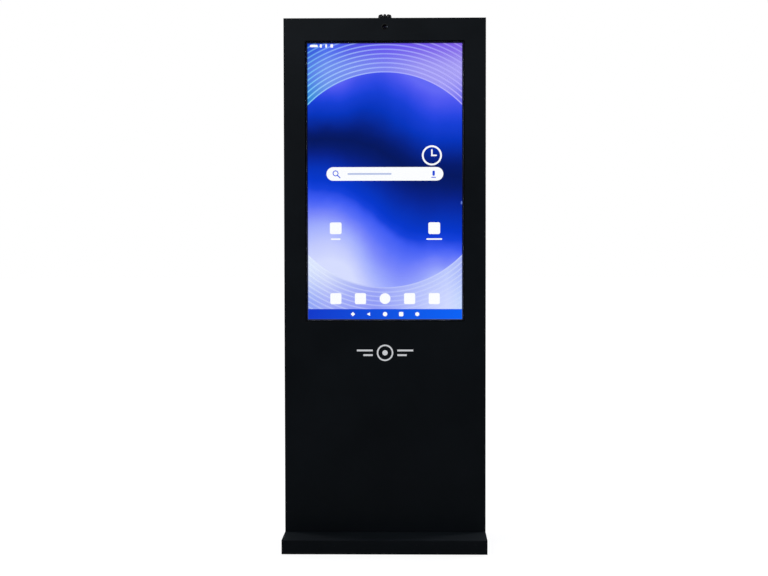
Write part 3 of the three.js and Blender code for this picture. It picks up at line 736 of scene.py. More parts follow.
# %% Bmesh helpers
def slab(shape, low, high, round_edges=0.0):
    low, high = Vector(low), Vector(high)
    place = Matrix.Translation((low + high) / 2) @ Matrix.Diagonal((*(high - low), 1))
    made = bmesh.ops.create_cube(shape, size=1.0, matrix=place)["verts"]
    if round_edges:
        bevel_edges(shape, {e for v in made for e in v.link_edges}, round_edges)


def bevel_edges(shape, edges, width, segments=2):
    bmesh.ops.bevel(
        shape,
        geom=list(edges),
        offset=width,
        offset_type="OFFSET",
        segments=segments,
        profile=0.5,
        affect="EDGES",
        material=-1,
        clamp_overlap=True,
    )


def turned_to(axis):
    return Vector(axis).to_track_quat("Z", "Y").to_matrix().to_4x4()


def rod(shape, start, end, radius, sides=24):
    start, end = Vector(start), Vector(end)
    place = Matrix.Translation((start + end) / 2) @ turned_to(end - start)
    bmesh.ops.create_cone(
        shape,
        cap_ends=True,
        segments=sides,
        radius1=radius,
        radius2=radius,
        depth=(end - start).length,
        matrix=place,
    )


def spun(shape, profile, centre, axis, steps=32, closed=False):
    place = Matrix.Translation(Vector(centre)) @ turned_to(axis)
    points = [shape.verts.new(place @ Vector((radius, 0, height))) for radius, height in profile]
    pairs = list(zip(points, points[1:])) + ([(points[-1], points[0])] if closed else [])
    edges = [shape.edges.new(pair) for pair in pairs]
    bmesh.ops.spin(
        shape,
        geom=points + edges,
        cent=Vector(centre),
        axis=Vector(axis).normalized(),
        angle=math.tau,
        steps=steps,
        use_merge=True,
        use_duplicate=False,
    )


def in_mm(profile):
    return [(radius * MM, height * MM) for radius, height in profile]


def stamp(shape, template, place):
    before = set(shape.verts)
    shape.from_mesh(template)
    bmesh.ops.transform(shape, matrix=place, verts=[v for v in shape.verts if v not in before])


def as_template(shape, name):
    mesh = bpy.data.meshes.new(name)
    bmesh.ops.remove_doubles(shape, verts=shape.verts, dist=0.000002)
    bmesh.ops.recalc_face_normals(shape, faces=shape.faces)
    shape.to_mesh(mesh)
    shape.free()
    return mesh


def piece(name, shape, material, body, smooth=35):
    mesh = as_template(shape, name)
    mesh.materials.append(material)
    mesh.polygons.foreach_set("use_smooth", [True] * len(mesh.polygons))
    mesh.set_sharp_from_angle(angle=math.radians(smooth))
    thing = bpy.data.objects.new(name, mesh)
    bpy.context.scene.collection.objects.link(thing)
    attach(thing, body)
    print(f"{name}: {len(mesh.polygons)} faces on {body}")
    return thing


# %% [markdown]
# ## Floor
# A plain pale disc, large enough that its far edge is lost in the white around it.

# %% Floor
def make_floor():
    shape = bmesh.new()
    bmesh.ops.create_circle(shape, cap_ends=True, segments=96, radius=30.0)
    mesh = bpy.data.meshes.new("studio_floor")
    shape.to_mesh(mesh)
    shape.free()
    material, tree, shader = new_material("studio_floor", Roughness=0.8, Specular_IOR_Level=0.05)
    path = add_node(tree, "ShaderNodeLightPath").outputs["Is Camera Ray"]
    place = add_node(tree, "ShaderNodeTexCoord").outputs["Object"]
    away = add_node(tree, "ShaderNodeVectorMath", {0: place}, operation="LENGTH").outputs["Value"]
    glow = maths(tree, "MULTIPLY", spread(tree, away, 0.5, 5.0, 0.9, 1.0), path)
    tree.links.new(glow, shader.inputs["Emission Strength"])
    shader.inputs["Emission Color"].default_value = (1, 1, 1, 1)
    shader.inputs["Base Color"].default_value = (0.2, 0.2, 0.21, 1)
    mesh.materials.append(material)
    floor = bpy.data.objects.new("studio_floor", mesh)
    bpy.context.scene.collection.objects.link(floor)
    print(f"floor: {floor.dimensions.x:.0f} m across")


make_floor()

# %% [markdown]
# ## What the screen shows
# Everything on the screen is a thin lit shape that floats a tenth of a millimetre in front of the picture,
# behind the glass. Most are of three kinds: a tile is a thin block with its corners rounded, a disc is a
# thin cylinder, which with three, four or six sides is also a triangle, a diamond or a hexagon, and a ring
# is a small rectangle spun round. `SHOW` gives the height of each row.

# %% Screen layout
FACE_Y = PICTURE_LOW.y - 0.1 * MM
SKIN = 0.12 * MM
ON_TOP = 0.13 * MM
COLUMN = 84 * MM
SHOW = {
    "status": PICTURE_HIGH.z - 10 * MM,
    "clock": PICTURE_MID.z + 89 * MM,
    "search": PICTURE_MID.z + 26.5 * MM,
    "tiles": PICTURE_MID.z - 158.5 * MM,
    "captions": PICTURE_MID.z - 195.5 * MM,
    "dock": PICTURE_MID.z - 398.6 * MM,
    "bar": PICTURE_LOW.z + 36.3 * MM,
    "keys": PICTURE_LOW.z + 19 * MM,
}


def flat_tile(shape, x, z, width, height, corner, depth=0.0):
    place = Matrix.Translation((x, FACE_Y - depth, z)) @ Matrix.Diagonal((width, SKIN, height, 1))
    made = bmesh.ops.create_cube(shape, size=1.0, matrix=place)["verts"]
    upright = [e for v in made for e in v.link_edges if abs((e.verts[0].co - e.verts[1].co).y) > SKIN / 2]
    bevel_edges(shape, set(upright), corner, 6)


def flat_disc(shape, x, z, radius, sides=40, depth=0.0, turn=0.0):
    facing = Matrix.Rotation(turn, 4, "Y") @ Matrix.Rotation(math.pi / 2, 4, "X")
    place = Matrix.Translation((x, FACE_Y - depth, z)) @ facing
    bmesh.ops.create_cone(
        shape, cap_ends=True, segments=sides, radius1=radius, radius2=radius, depth=SKIN, matrix=place
    )


def flat_ring(shape, x, z, radius, width, depth=0.0):
    half = SKIN / 2
    section = [(radius - width, -half), (radius, -half), (radius, half), (radius - width, half)]
    spun(shape, section, (x, FACE_Y - depth, z), Y, 48, closed=True)


print("rows:", ", ".join(f"{row} at {z / MM:.0f} mm" for row, z in SHOW.items()))


# %% [markdown]
# ## White items
# From the top: a status row, a round clock with two hands, a search field, two tiles with their captions,
# and a dock of four tiles with a disc in the middle. They have one colour, so they are one mesh. A small
# tab at the right edge is fainter, and is a piece of its own.

# %% White items
def make_lit_items():
    shape = bmesh.new()
    flat_tile(shape, -241 * MM, SHOW["status"], 27 * MM, 8 * MM, 3.9 * MM)
    for x, width in ((-217, 7), (-199, 6), (-180, 9)):
        flat_tile(shape, x * MM, SHOW["status"], width * MM, 11 * MM, 2 * MM)
    flat_tile(shape, 0, SHOW["search"], 398 * MM, 46 * MM, 22.9 * MM)
    flat_ring(shape, 160 * MM, SHOW["clock"], 34 * MM, 6 * MM)
    flat_tile(shape, 160 * MM, SHOW["clock"] + 9 * MM, 5 * MM, 24 * MM, 2.4 * MM)
    flat_tile(shape, 167 * MM, SHOW["clock"], 20 * MM, 5 * MM, 2.4 * MM)
    for x, width in ((-2, 33), (2, 54)):
        flat_tile(shape, x * COLUMN, SHOW["tiles"], 40 * MM, 40 * MM, 6 * MM)
        flat_tile(shape, x * COLUMN, SHOW["captions"], width * MM, 5 * MM, 2.4 * MM)
    for step in (-2, -1, 1, 2):
        flat_tile(shape, step * COLUMN, SHOW["dock"], 38 * MM, 38 * MM, 6 * MM)
    flat_disc(shape, 0, SHOW["dock"], 18.5 * MM)
    piece("screen_white_items", shape, WHITE_GLOW, "housing")
    tab = bmesh.new()
    flat_tile(tab, 261 * MM, PICTURE_MID.z - 72 * MM, 5 * MM, 11 * MM, 2.4 * MM)
    piece("screen_edge_tab", tab, TAB_GLOW, "housing")


make_lit_items()


# %% [markdown]
# ## Navigation bar
# A deep blue bar runs across the foot of the screen, with five keys at an even pitch: a diamond, a
# triangle, a disc, a rounded square and a hexagon. The keys lie a little in front of the bar.

# %% Navigation bar and its keys
def make_navigation():
    bar = bmesh.new()
    low = (PICTURE_LOW.x + 2 * MM, FACE_Y - SKIN / 2, PICTURE_LOW.z + 2 * MM)
    slab(bar, low, (PICTURE_HIGH.x - 2 * MM, FACE_Y + SKIN / 2, SHOW["bar"]))
    piece("screen_navigation_bar", bar, BAR_GLOW, "housing")
    keys = bmesh.new()
    pitch, size = 55 * MM, 7.5 * MM
    for step, sides, turn in ((-2, 4, 0.0), (-1, 3, -math.pi / 2), (0, 32, 0.0), (2, 6, 0.0)):
        flat_disc(keys, step * pitch, SHOW["keys"], size, sides, ON_TOP, turn)
    flat_tile(keys, pitch, SHOW["keys"], 2 * size, 2 * size, 3.5 * MM, ON_TOP)
    piece("screen_navigation_keys", keys, WHITE_GLOW, "housing")


make_navigation()


# %% [markdown]
# ## Marks in the search field
# The field holds a magnifying glass, which is a ring with a slanting handle, a grey bar where a hint would
# stand, and a microphone: a tall rounded tile over a short one.

# %% Marks in the search field
def make_search_marks():
    shape = bmesh.new()
    z = SHOW["search"]
    flat_ring(shape, -168 * MM, z + 2 * MM, 10 * MM, 3 * MM, ON_TOP)
    handle = Matrix.Translation((-156.5 * MM, FACE_Y - ON_TOP, z - 9.5 * MM))
    handle = handle @ Matrix.Rotation(math.radians(45), 4, "Y")
    bmesh.ops.create_cube(shape, size=1.0, matrix=handle @ Matrix.Diagonal((13 * MM, SKIN, 3.4 * MM, 1)))
    flat_tile(shape, 166 * MM, z + 2 * MM, 8 * MM, 18 * MM, 3.9 * MM, ON_TOP)
    flat_tile(shape, 166 * MM, z - 12 * MM, 16 * MM, 3 * MM, 1.4 * MM, ON_TOP)
    piece("screen_search_marks", shape, BLUE_GLOW, "housing")
    hint = bmesh.new()
    flat_tile(hint, -52 * MM, z, 150 * MM, 6 * MM, 2.9 * MM, ON_TOP)
    piece("screen_search_hint", hint, GREY_GLOW, "housing")


make_search_marks()


# %% [markdown]
# ## The printed symbol
# Under the screen the column carries a small white print, a plain touch sign: a dot and a ring between two
# pairs of bars, 192 mm across. It is a real layer, a tenth of a millimetre proud of the paint.

# %% Printed symbol
PRINT_Z = 664 * MM
PRINT_RISE = 0.1 * MM


def make_print():
    front_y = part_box("front_cover")[0].y
    shape = bmesh.new()

    def bar(x0, x1, z0, z1):
        low = (x0 * MM, front_y - PRINT_RISE, PRINT_Z + z0 * MM)
        slab(shape, low, (x1 * MM, front_y, PRINT_Z + z1 * MM))

    for side in (-1, 1):
        for low, high, reach in ((5, 11, 96), (-11, -5, 74)):
            ends = sorted((side * 42, side * reach))
            bar(*ends, low, high)
    for radius, width in ((28, 5), (9, 8.9)):
        section = [(radius - width, 0), (radius, 0), (radius, 0.1), (radius - width, 0.1)]
        spun(shape, in_mm(section), (0, front_y, PRINT_Z), -Y, 48, closed=True)
    piece("printed_touch_sign", shape, INK, "housing")


make_print()

# %% [markdown]
# ## Screws
# A pan-head screw is a low dome with a hexagonal socket. One template is spun and its socket pressed in;
# then it is stamped, turned to face the right way, wherever a part is held.

# %% Screw template and stamping
def screw_template(head=3.5, rise=2.2, socket=1.5):
    shape = bmesh.new()
    well = [(0, rise - 1.4), (socket, rise - 1.4), (socket, rise)]
    dome = well + [(head * 0.72, rise), (head * 0.95, rise * 0.6), (head, 0.0), (0, 0.0)]
    spun(shape, in_mm(dome), (0, 0, 0), Z, 24)
    for v in shape.verts:
        flat = Vector((v.co.x, v.co.y))
        if abs(flat.length - socket * MM) < 0.05 * MM:
            around = math.atan2(flat.y, flat.x) % (math.pi / 3) - math.pi / 6
            reach = math.cos(math.pi / 6) / math.cos(around)
            v.co.x, v.co.y = flat * reach
    return as_template(shape, "pan_head_screw")


SCREW = screw_template()


def screws(name, places, axis, body, size=1.0, material=None):
    shape = bmesh.new()
    for place in places:
        turn = turned_to(axis) @ Matrix.Scale(size, 4)
        stamp(shape, SCREW, Matrix.Translation(Vector(place)) @ turn)
    piece(name, shape, material or ZINC, body)


# %% [markdown]
# ## Where the screws go
# Each hinge leaf has three, the rails six along the back's edges, and every flat thing that is screwed on
# has them near its corners or ends. Those of the rails, the mains inlet and the network socket are black,
# and the rest are zinc plated. The cams of the locks each have a larger one, which turns with the cam.

# %% Screws on hinges, rails and equipment
RAIL_SCREW_X = 320 * MM
RAIL_SCREW_Z = (90, 775, 1783)


def corner_points(node, inset, y):
    low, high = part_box(node)
    return [
        Vector((x, y, z))
        for x in (low.x + inset, high.x - inset)
        for z in (low.z + inset, high.z - inset)
    ]


def make_screws():
    for door in ("upper", "lower"):
        for end in ("top", "bottom"):
            for leaf, side, body in (("frame", -1, "housing"), ("door", 1, f"{door}_door")):
                pin = middle(f"{door}_hinge_{end}_pin")
                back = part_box(f"{door}_hinge_{end}_{leaf}_leaf")[0].y + 2 * MM
                spots = [(pin.x + side * 16 * MM, back, pin.z + dz * MM) for dz in (-20, 0, 20)]
                screws(f"{door}_hinge_{end}_{leaf}_screws", spots, Y, body, 0.9)
    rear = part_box("side_panel_left")[1].y
    rails = [(side * RAIL_SCREW_X, rear, z * MM) for side in (-1, 1) for z in RAIL_SCREW_Z]
    screws("rail_screws", rails, Y, "housing", 1.0, PAINT)
    for side in SIDES:
        fan_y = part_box(f"fan_housing_{side}")[1].y
        screws(f"fan_screws_{side}", corner_points(f"fan_housing_{side}", 4 * MM, fan_y), Y, "housing", 0.9)
    plate_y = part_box("equipment_plate")[1].y
    screws("plate_screws", corner_points("equipment_plate", 12 * MM, plate_y), Y, "housing", 1.1)
    for name, node, inset, size in (
        ("inlet_screws", "mains_inlet", 2.6 * MM, 0.62),
        ("network_screws", "network_socket", 5 * MM, 0.7),
    ):
        low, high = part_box(node)
        spots = [(middle(node).x, high.y, z) for z in (low.z + inset, high.z - inset)]
        screws(name, spots, Y, "housing", size, SATIN)
    for door in ("upper", "lower"):
        cam = middle(f"{door}_lock_plug")
        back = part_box(f"{door}_lock_cam")[0].y
        screws(f"{door}_lock_cam_screw", [(cam.x, back, cam.z)], -Y, f"{door}_lock", 1.4)


make_screws()

# %% [markdown]
# ## Louvre hoods
# A louvre is cut and pressed in one stroke, so every slot in a service door has a hood: a low shell that
# is closed above and at both ends and open below, which lets warm air out and keeps drips from running
# in. One is made from a box, with its outer edges rounded off and its back and underside removed, and
# then stamped over each slot.

# %% Louvre hoods
# The lowest slot of each group, in millimetres above the floor, and how many slots stand above each other.
LOUVRE_ROWS = {"upper": [(1625, 10), (840, 6)], "lower": [(640, 5), (180, 7)]}
LOUVRE_PITCH = 12
LOUVRE_X = 130


def hood_template():
    shape = bmesh.new()
    slab(shape, (-56 * MM, 0, -3 * MM), (56 * MM, 4.6 * MM, 7.2 * MM))
    outer = [e for e in shape.edges if all(v.co.y > 4 * MM for v in e.verts)]
    outer = [e for e in outer if not all(v.co.z < 0 for v in e.verts)]
    bevel_edges(shape, outer, 4.2 * MM, 5)
    open_sides = [f for f in shape.faces if f.normal.y < -0.9 or f.normal.z < -0.9]
    bmesh.ops.delete(shape, geom=open_sides, context="FACES")
    bmesh.ops.recalc_face_normals(shape, faces=shape.faces)
    bmesh.ops.solidify(shape, geom=shape.faces[:], thickness=0.9 * MM)
    return as_template(shape, "louvre_hood")


def make_hoods():
    template = hood_template()
    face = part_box("upper_door")[1].y
    for door, groups in LOUVRE_ROWS.items():
        shape = bmesh.new()
        for low, rows in groups:
            for row in range(rows):
                z = (low + row * LOUVRE_PITCH) * MM
                for x in (-LOUVRE_X * MM, LOUVRE_X * MM):
                    stamp(shape, template, Matrix.Translation((x, face, z)))
        piece(f"{door}_louvre_hoods", shape, PAINT, f"{door}_door")


make_hoods()

# %% [markdown]
# ## Door seals and stiffeners
# Each door closes on two strips of foam, stuck to the lips of the doorway, which keep dust out and stop the
# sheet from rattling. Three folded channels are spot welded to the inside of each door, so the thin sheet
# doesn't drum.

# %% Seals and stiffeners
def make_seals():
    for door in ("upper", "lower"):
        low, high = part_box(f"{door}_door")
        shape = bmesh.new()
        for side in SIDES.values():
            ends = sorted((side * 302 * MM, side * 310.5 * MM))
            start = (ends[0], 38 * MM, low.z + 4 * MM)
            slab(shape, start, (ends[1], 39.7 * MM, high.z - 4 * MM), 0.5 * MM)
        piece(f"{door}_door_seal", shape, FOAM, "housing")


def channel_template(length, width, depth, flange):
    shape = bmesh.new()
    slab(shape, (-width / 2, -depth, -length / 2), (width / 2, 0, length / 2), 1.2 * MM)
    for side in (-1, 1):
        ends = sorted((side * width / 2, side * (width / 2 + flange)))
        slab(shape, (ends[0], -1.2 * MM, -length / 2), (ends[1], 0, length / 2))
        for step in range(5):
            z = (step - 2) * length / 5
            weld = (side * (width / 2 + flange / 2), -1.2 * MM, z)
            rod(shape, weld, (weld[0], weld[1] - 0.15 * MM, z), 2.2 * MM, 16)
    return as_template(shape, "stiffener")


def make_stiffeners():
    for door in ("upper", "lower"):
        low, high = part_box(f"{door}_door")
        inner = high.y - 1.3 * MM
        template = channel_template(high.z - low.z - 60 * MM, 24 * MM, 8 * MM, 9 * MM)
        shape = bmesh.new()
        for x in (-225, 0, 225):
            stamp(shape, template, Matrix.Translation((x * MM, inner, (low.z + high.z) / 2)))
        piece(f"{door}_door_stiffeners", shape, PAINT, f"{door}_door")


make_seals()
make_stiffeners()

# %% [markdown]
# ## Clamp knob
# The knob on top is a moulded hand knob, like a low crown: eight rounded grips stand up round a sunken
# middle. Its profile is spun, and the gaps between the grips are then pressed in, both downwards and
# towards the axis. It stands for the plainer knob of the CAD model, within the same outline.

# %% Knob
KNOB_HEIGHT = 17 * MM
GRIPS = 8


def make_knob():
    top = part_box("camera_clamp_knob")[1].z
    centre = middle("camera_clamp_knob").xy.to_3d() + (top - KNOB_HEIGHT) * Z
    outside = [(0, 0), (18, 0), (21, 0.2), (22.3, 1.0), (22.8, 2.6), (22.9, 6), (22.7, 9.5), (22.1, 12.6)]
    rim = [(20.9, 15.2), (19.2, 16.6), (17.4, 17), (15.6, 16.6), (14.1, 15.2), (13.0, 12.6)]
    hollow = [(12.0, 10.4), (10.2, 9.2), (7.6, 8.9), (7.0, 8.3), (6.4, 8.2), (0, 8.8)]
    shape = bmesh.new()
    spun(shape, in_mm(outside + rim + hollow), centre, Z, 160)
    floor = centre.z + 7.4 * MM
    for v in shape.verts:
        away = Vector((v.co.x - centre.x, v.co.y - centre.y, 0))
        reach = min(1.0, max(0.0, (away.length - 9 * MM) / (9 * MM)))
        gap = (0.5 - 0.5 * math.cos(GRIPS * math.atan2(away.y, away.x))) ** 3.4
        v.co -= away * 0.12 * reach * gap
        if v.co.z > floor:
            v.co.z -= (v.co.z - floor) * 0.93 * reach * gap
    rod(shape, centre - 12 * MM * Z, centre + 2 * MM * Z, 4 * MM, 24)
    knob = piece("clamp_knob", shape, SATIN, "clamp_knob", smooth=70)
    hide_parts("camera_clamp_knob")


make_knob()

# %% [markdown]
# ## Camera opening
# The hole in the front is finished by a thin moulded ring, and the lens behind it sits in its own turned
# barrel. A small glowing dot on the ring beside the lens is a painted glint: the highlight of the lens
# glass, drawn as a glow.

# %% Camera ring, painted glint and barrel
def make_camera_parts():
    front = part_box("front_cover")[0].y
    lens = middle("camera_lens")
    ring = bmesh.new()
    section = [(7.9, -0.9), (9.4, -0.9), (9.4, 0.1), (10.6, 0.1)]
    section += [(10.6, 0.45), (9.9, 0.7), (8.4, 0.7), (7.9, 0.2)]
    spun(ring, in_mm(section), (lens.x, front, lens.z), -Y, 64, closed=True)
    piece("camera_opening_ring", ring, MOULDED, "housing")
    # Painted glint: a glowing dot that stands for the highlight on the lens glass.
    lamp = bmesh.new()
    dome = [(0, 0), (1.35, 0), (1.35, 0.5), (1.1, 0.95), (0.6, 1.2), (0, 1.3)]
    spun(lamp, in_mm(dome), (lens.x + 8.6 * MM, front, lens.z), -Y, 24)
    piece("lens_glint_painted_dot", lamp, LENS_GLINT_GLOW, "housing")
    barrel = bmesh.new()
    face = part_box("camera_body")[0].y
    section = [(4.6, -2.0), (6.2, -2.0), (6.2, 0.25), (5.6, 0.5), (5.0, 0.2), (4.8, -0.6), (4.6, -0.6)]
    spun(barrel, in_mm(section), (lens.x, face, lens.z), -Y, 48, closed=True)
    piece("camera_lens_barrel", barrel, SATIN, "camera")


make_camera_parts()

# %% [markdown]
# ## Fan guards
# A wire guard keeps fingers out of each fan: four rings of thin wire on a cross, welded where they touch,
# with a screw eye at the end of each arm. Each ring is a small circle spun about the fan's axis.

# %% Fan guards
def wire_ring(shape, centre, axis, radius, wire, steps=48, sides=8):
    section = [
        (radius + wire * math.cos(i * math.tau / sides), wire * math.sin(i * math.tau / sides))
        for i in range(sides)
    ]
    spun(shape, section, centre, axis, steps, closed=True)


def make_fan_guards():
    for side in SIDES:
        rotor = middle(f"fan_rotor_{side}")
        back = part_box(f"fan_housing_{side}")[1].y
        shape = bmesh.new()
        for radius in (10, 19, 28, 37):
            wire_ring(shape, (rotor.x, back + 2.4 * MM, rotor.z), Y, radius * MM, 0.9 * MM)
        for corner in range(4):
            angle = math.pi / 4 + corner * math.pi / 2
            way = Vector((math.cos(angle), 0, math.sin(angle)))
            start = Vector((rotor.x, back + 1.1 * MM, rotor.z))
            rod(shape, start + way * 8 * MM, start + way * 47 * MM, 0.9 * MM, 10)
            eye = start + way * 50.9 * MM
            wire_ring(shape, (eye.x, back + 0.9 * MM, eye.z), Y, 3.9 * MM, 0.8 * MM, 24)
        piece(f"fan_guard_{side}", shape, ZINC, "housing")


make_fan_guards()

# %% [markdown]
# ## Speakers
# Behind the slots in each side is a small speaker. Its paper cone hangs in a rolled rubber surround, and a
# domed cap closes its middle.

# %% Speaker cones
def make_speaker_cones():
    for side, sign in SIDES.items():
        low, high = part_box(f"speaker_{side}")
        face = high.x if sign > 0 else low.x
        centre = (face, middle(f"speaker_{side}").y, middle(f"speaker_{side}").z)
        surround = bmesh.new()
        roll = [(22.8, -2.6), (22.8, -1.2), (21.8, -0.4), (20.4, -0.2)]
        roll += [(19.0, -0.6), (18.2, -1.6), (18.0, -2.8), (20.4, -1.4)]
        spun(surround, in_mm(roll), centre, sign * X, 48, closed=True)
        piece(f"speaker_surround_{side}", surround, RUBBER, "housing")
        cone = bmesh.new()
        paper = [(18.1, -2.4), (8.6, -7.6), (8.2, -6.6), (6.6, -4.9), (3.6, -3.7), (0, -3.3)]
        paper += [(0, -8.2), (8.8, -8.2), (18.4, -3.0)]
        spun(cone, in_mm(paper), centre, sign * X, 48)
        piece(f"speaker_cone_{side}", cone, GREY, "housing")


make_speaker_cones()

# %% [markdown]
# ## Connections
# Small marks tell the connections apart: a bar and a ring on the rocker switch, the usual sign for on and
# off on the start button, and eight gilt contacts and two lamps in the network socket.

# %% Switch, button and socket marks
def make_connection_marks():
    rocker = middle("mains_inlet")
    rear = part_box("rear_rail_bottom")[1].y
    pivot = Matrix.Translation((rocker.x, rear - 1.5 * MM, rocker.z + 17 * MM))
    tilt = pivot @ Matrix.Rotation(math.radians(7), 4, "X")
    slope = math.atan2(1.0, 5.8)
    marks = bmesh.new()
    place = tilt @ Matrix.Translation((0, 4.36 * MM, 3.2 * MM)) @ Matrix.Rotation(-slope, 4, "X")
    place = place @ Matrix.Diagonal((0.9 * MM, 0.16 * MM, 3.4 * MM, 1))
    bmesh.ops.create_cube(marks, size=1.0, matrix=place)
    place = tilt @ Matrix.Translation((0, 4.36 * MM, -3.2 * MM)) @ Matrix.Rotation(slope, 4, "X")
    ring = bmesh.new()
    section = [(1.1, -0.08), (1.8, -0.08), (1.8, 0.08), (1.1, 0.08)]
    spun(ring, in_mm(section), (0, 0, 0), Y, 32, closed=True)
    stamp(marks, as_template(ring, "off_ring"), place)
    piece("rocker_marks", marks, INK, "rocker_switch")

    button = middle("start_button")
    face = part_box("start_button")[1].y
    sign = bmesh.new()
    section = [(2.2, 0), (2.9, 0), (2.9, 0.1), (2.2, 0.1)]
    spun(sign, in_mm(section), (button.x, face, button.z), Y, 40, closed=True)
    centres = [(f, f.calc_center_median() - button) for f in sign.faces]
    gap = [f for f, at in centres if abs(at.x) < 1.1 * MM and at.z > 0]
    bmesh.ops.delete(sign, geom=gap, context="FACES")
    bmesh.ops.holes_fill(sign, edges=sign.edges, sides=4)
    low = (button.x - 0.35 * MM, face, button.z + 0.6 * MM)
    slab(sign, low, (button.x + 0.35 * MM, face + 0.1 * MM, button.z + 3.4 * MM))
    piece("start_button_sign", sign, SATIN, "start_button")

    socket = middle("network_socket")
    contacts = bmesh.new()
    for step in range(8):
        x = socket.x + (step - 3.5) * 1.1 * MM
        low = (x - 0.3 * MM, rear - 8.5 * MM, socket.z + 3.2 * MM)
        slab(contacts, low, (x + 0.3 * MM, rear - 0.6 * MM, socket.z + 3.7 * MM))
    piece("network_contacts", contacts, COPPER, "housing")
    lamps = bmesh.new()
    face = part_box("network_socket")[1].y
    for side in (-1, 1):
        x = socket.x + side * 4.6 * MM
        low = (x - 1.6 * MM, face - 0.1 * MM, socket.z - 7.6 * MM)
        slab(lamps, low, (x + 1.6 * MM, face + 0.35 * MM, socket.z - 6 * MM), 0.2 * MM)
    piece("network_lamps", lamps, GREEN_GLOW, "housing")


make_connection_marks()

# %% [markdown]
# ## Amplifier
# Behind the lower door a plate carries the power supply and, beside it, the amplifier for the speakers: a
# green board on four pillars, with a finned heat sink, a row of smoothing capacitors, four chips, a coil
# and a row of screw terminals.

# %% Amplifier
AMPLIFIER_X = (15, 135)
AMPLIFIER_Z = (400, 500)


def make_amplifier():
    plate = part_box("equipment_plate")[1].y
    x0, x1, z0, z1 = (v * MM for v in AMPLIFIER_X + AMPLIFIER_Z)
    top = plate + 8 * MM
    board = bmesh.new()
    slab(board, (x0, top - 1.6 * MM, z0), (x1, top, z1), 0.3 * MM)
    piece("amplifier_board", board, BOARD, "housing")
    pillars = bmesh.new()
    for x in (x0 + 5 * MM, x1 - 5 * MM):
        for z in (z0 + 5 * MM, z1 - 5 * MM):
            rod(pillars, (x, plate, z), (x, top - 1.6 * MM, z), 2.8 * MM, 6)
            stamp(pillars, SCREW, Matrix.Translation((x, top, z)) @ turned_to(Y) @ Matrix.Scale(0.75, 4))
    piece("amplifier_pillars", pillars, ZINC, "housing")
    sink = bmesh.new()
    slab(sink, (x0 + 12 * MM, top, z1 - 34 * MM), (x0 + 72 * MM, top + 3 * MM, z1 - 8 * MM), 0.4 * MM)
    for fin in range(11):
        x = x0 + 13 * MM + fin * 5.7 * MM
        slab(sink, (x, top + 2 * MM, z1 - 34 * MM), (x + 1.3 * MM, top + 17 * MM, z1 - 8 * MM), 0.3 * MM)
    piece("amplifier_heat_sink", sink, ALUMINIUM, "housing")
    cans, tops = bmesh.new(), bmesh.new()
    for step in range(5):
        at = Vector((x0 + 22 * MM + step * 13 * MM, top, z0 + 36 * MM))
        body = [(0, 0), (4.6, 0), (5, 0.4), (5, 13.2), (4.7, 13.8), (4.2, 14), (0, 14)]
        spun(cans, in_mm(body), at, Y, 24)
        rod(tops, at + 13.9 * MM * Y, at + 14.15 * MM * Y, 4.0 * MM, 24)
    for step in range(4):
        x, z = x0 + (86 + 9 * (step % 2)) * MM, z0 + (54 + 9 * (step // 2)) * MM
        slab(cans, (x, top, z), (x + 6 * MM, top + 2 * MM, z + 6 * MM), 0.3 * MM)
    piece("amplifier_components", cans, MOULDED, "housing")
    piece("amplifier_capacitor_tops", tops, ALUMINIUM, "housing")
    coil = bmesh.new()
    section = [(5, 1), (10.5, 1), (11.5, 2), (11.5, 8.5), (10.5, 9.5), (5, 9.5), (4.2, 8.5), (4.2, 2)]
    spun(coil, in_mm(section), (x1 - 20 * MM, top, z1 - 18 * MM), Y, 40, closed=True)
    piece("amplifier_coil", coil, COPPER, "housing")
    blocks = bmesh.new()
    for step in range(8):
        x = x0 + (14 + 11.5 * step) * MM
        slab(blocks, (x, top, z0 + 4 * MM), (x + 11 * MM, top + 11 * MM, z0 + 18 * MM), 0.5 * MM)
    piece("amplifier_terminals", blocks, GREY, "housing")
    heads = [(x0 + (19.5 + 11.5 * step) * MM, top + 10.2 * MM, z0 + 11 * MM) for step in range(8)]
    screws("amplifier_terminal_screws", heads, Y, "housing", 0.8)


make_amplifier()


# %% [markdown]
# ## Power supply and media player
# The supply has rows of round vents in its cover, each a black disc of painted shade where the hole would
# show the dark inside, and a terminal block across its foot. The player, a flat box, has its ports and a
# lamp along its top end, and is held by four ears bent out of its case.

# %% Power supply and player details
# Each port's place across the player, its width and its height.
PLAYER_PORTS = (
    (-120, 16, 8), (-92, 14, 6), (-68, 14, 6), (-38, 22, 9), (0, 16, 13), (40, 22, 9), (100, 12, 12)
)


def make_supply_details():
    low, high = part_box("power_supply")
    # The vents are black discs on the cover: painted shade standing for the dark inside of each hole.
    vent_shade = bmesh.new()
    for row in range(8):
        for column in range(9):
            x = low.x + (15 + 10 * column) * MM
            z = high.z - (24 + 10 * row) * MM
            rod(vent_shade, (x, high.y - 0.3 * MM, z), (x, high.y + 0.06 * MM, z), 2.6 * MM, 16)
    piece("supply_vent_holes_painted_shade", vent_shade, MOULDED, "housing")
    block = bmesh.new()
    for step in range(7):
        x = low.x + (13 + 12.2 * step) * MM
        slab(block, (x, high.y, low.z + 6 * MM), (x + 11.4 * MM, high.y + 9 * MM, low.z + 24 * MM), 0.6 * MM)
    piece("supply_terminals", block, GREY, "housing")
    heads = [(low.x + (18.7 + 12.2 * step) * MM, high.y + 8.4 * MM, low.z + 15 * MM) for step in range(7)]
    screws("supply_terminal_screws", heads, Y, "housing", 0.85)


